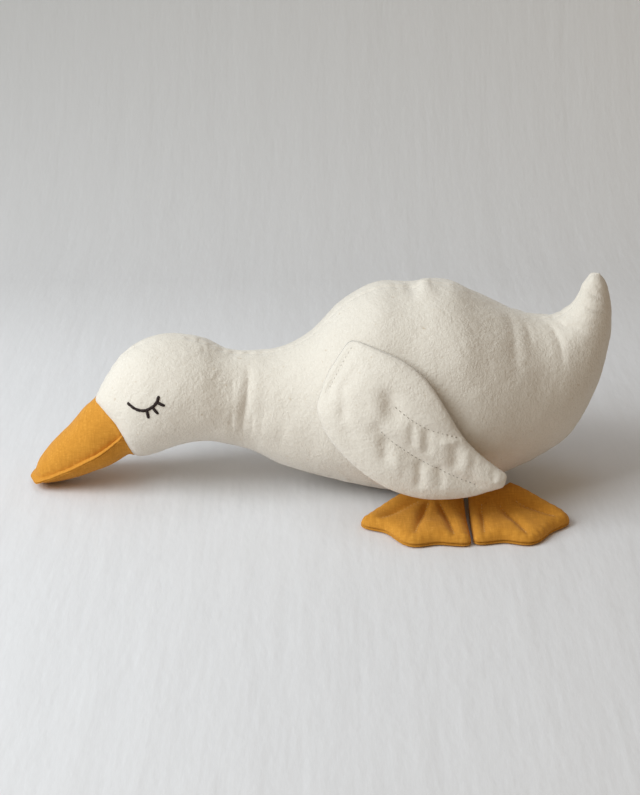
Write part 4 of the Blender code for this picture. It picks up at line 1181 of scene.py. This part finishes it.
FLOOR_FRONT, WALL_START = -1.6, 0.75
WALL_RADIUS, WALL_HEIGHT = 0.35, 1.6
profile = [(FLOOR_FRONT, 0.0), (WALL_START - WALL_RADIUS, 0.0)]
for turn in np.linspace(0, math.pi / 2, 24):
    profile.append((WALL_START - WALL_RADIUS + WALL_RADIUS * math.sin(turn), WALL_RADIUS * (1 - math.cos(turn))))
profile.append((WALL_START, WALL_HEIGHT))
sweep_points = [(x, y, z) for y, z in profile for x in (-2.2, 2.2)]
sweep_faces = [(2 * k, 2 * k + 1, 2 * k + 3, 2 * k + 2) for k in range(len(profile) - 1)]
sweep = sewn_mesh("sweep", sweep_points, sweep_faces)
pale, wire, shader = begin_material("pale_backdrop", specular=0.1)
threads = wire.noise(0.004, 2.0, 0.5, (1.0, 0.3, 0.3))
clouds = wire.noise(0.30, 2.0)
streaks = wire.noise(0.035, 3.0, 0.6, (1.0, 0.12, 0.12))
slubs = wire.noise(0.012, 2.0, 0.6, (1.0, 0.4, 0.4))
place = {"Vector": wire.node("TexCoord", out="Object")}
aside, depth, up = (wire.node("SeparateXYZ", None, place, out=k) for k in (0, 1, 2))
# Painted shade: the sweep is painted darker where it rises into the wall, and the wall is painted darker again toward
# its left side.
back = ((depth + up * 0.5 - 0.20) / 0.68).limited()
painted_wall_shade = ((aside + 0.45) / 0.75).limited().mixed((0.440, 0.424, 0.405, 1), (0.640, 0.617, 0.590, 1))
tone = clouds * 0.3 + streaks * 0.3 + slubs * 0.3 + threads * 0.1
tone = tone.mixed((0.695, 0.681, 0.680, 1), (0.778, 0.763, 0.762, 1))
tone = back.mixed(tone, painted_wall_shade)
finish_material(wire, shader, tone, 0.9 + 0.05 * clouds, streaks * 0.8 + slubs * 0.2 + threads * 0.1, 0.0015)
# Seen from behind, the sweep lets the camera look through to the duck
clear = wire.node("NewGeometry", out="Backfacing") * wire.node("LightPath", out="Is Camera Ray")
wire.tree.links.new((1.0 - clear).socket, shader.inputs["Alpha"])
sweep.data.materials.append(pale)
sweep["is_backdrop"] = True


def softbox(name, spot, aim, size, power, colour=(1, 1, 1)):
    """A square lamp that faces a point."""
    lamp = bpy.data.lights.new(name, "AREA")
    lamp.shape, lamp.size, lamp.energy, lamp.color = "SQUARE", size, power, colour
    made = bpy.data.objects.new(name, lamp)
    made.location = spot
    made.rotation_euler = (Vector(aim) - Vector(spot)).to_track_quat("-Z", "Y").to_euler()
    bpy.context.scene.collection.objects.link(made)


CENTRE = (-0.073, 0.0, 0.0623)
softbox("window", (-1.173, -0.513, 0.944), CENTRE, 1.0, 23.7, (0.84, 0.93, 1.0))
softbox("ceiling", (-0.221, 0.074, 1.55), CENTRE, 1.2, 5.2, (0.66, 0.83, 1.0))
world = bpy.data.worlds.new("room")
bpy.context.scene.world = world
world.use_nodes = True
room = Wire(world.node_tree)
seen = room.node("LightPath", out="Is Camera Ray") + room.node("LightPath", out="Is Glossy Ray")
seen = (seen + room.node("LightPath", out="Is Transmission Ray")).limited()
glow = room.node("Background", None, {"Color": (1.0, 0.74, 0.45, 1), "Strength": 0.27})
paper = room.node("Background", None, {"Color": (0.56, 0.55, 0.53, 1), "Strength": 1.0})
shown = room.node("MixShader", None, {0: seen, 1: glow, 2: paper})
world.node_tree.links.new(shown.socket, world.node_tree.nodes["World Output"].inputs["Surface"])

VIEW_ANGLE, VIEW_DISTANCE, LENS = math.radians(24), 1.15, 78.12
camera = bpy.data.objects.new("camera", bpy.data.cameras.new("camera"))
camera.data.lens = LENS
camera.data.sensor_width = 36
camera.location = (
    CENTRE[0],
    CENTRE[1] - VIEW_DISTANCE * math.cos(VIEW_ANGLE),
    CENTRE[2] + VIEW_DISTANCE * math.sin(VIEW_ANGLE),
)
camera.rotation_euler = (math.pi / 2 - VIEW_ANGLE, 0, 0)
bpy.context.scene.collection.objects.link(camera)
bpy.context.scene.camera = camera
bpy.context.scene.view_settings.view_transform = "Standard"

low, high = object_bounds()
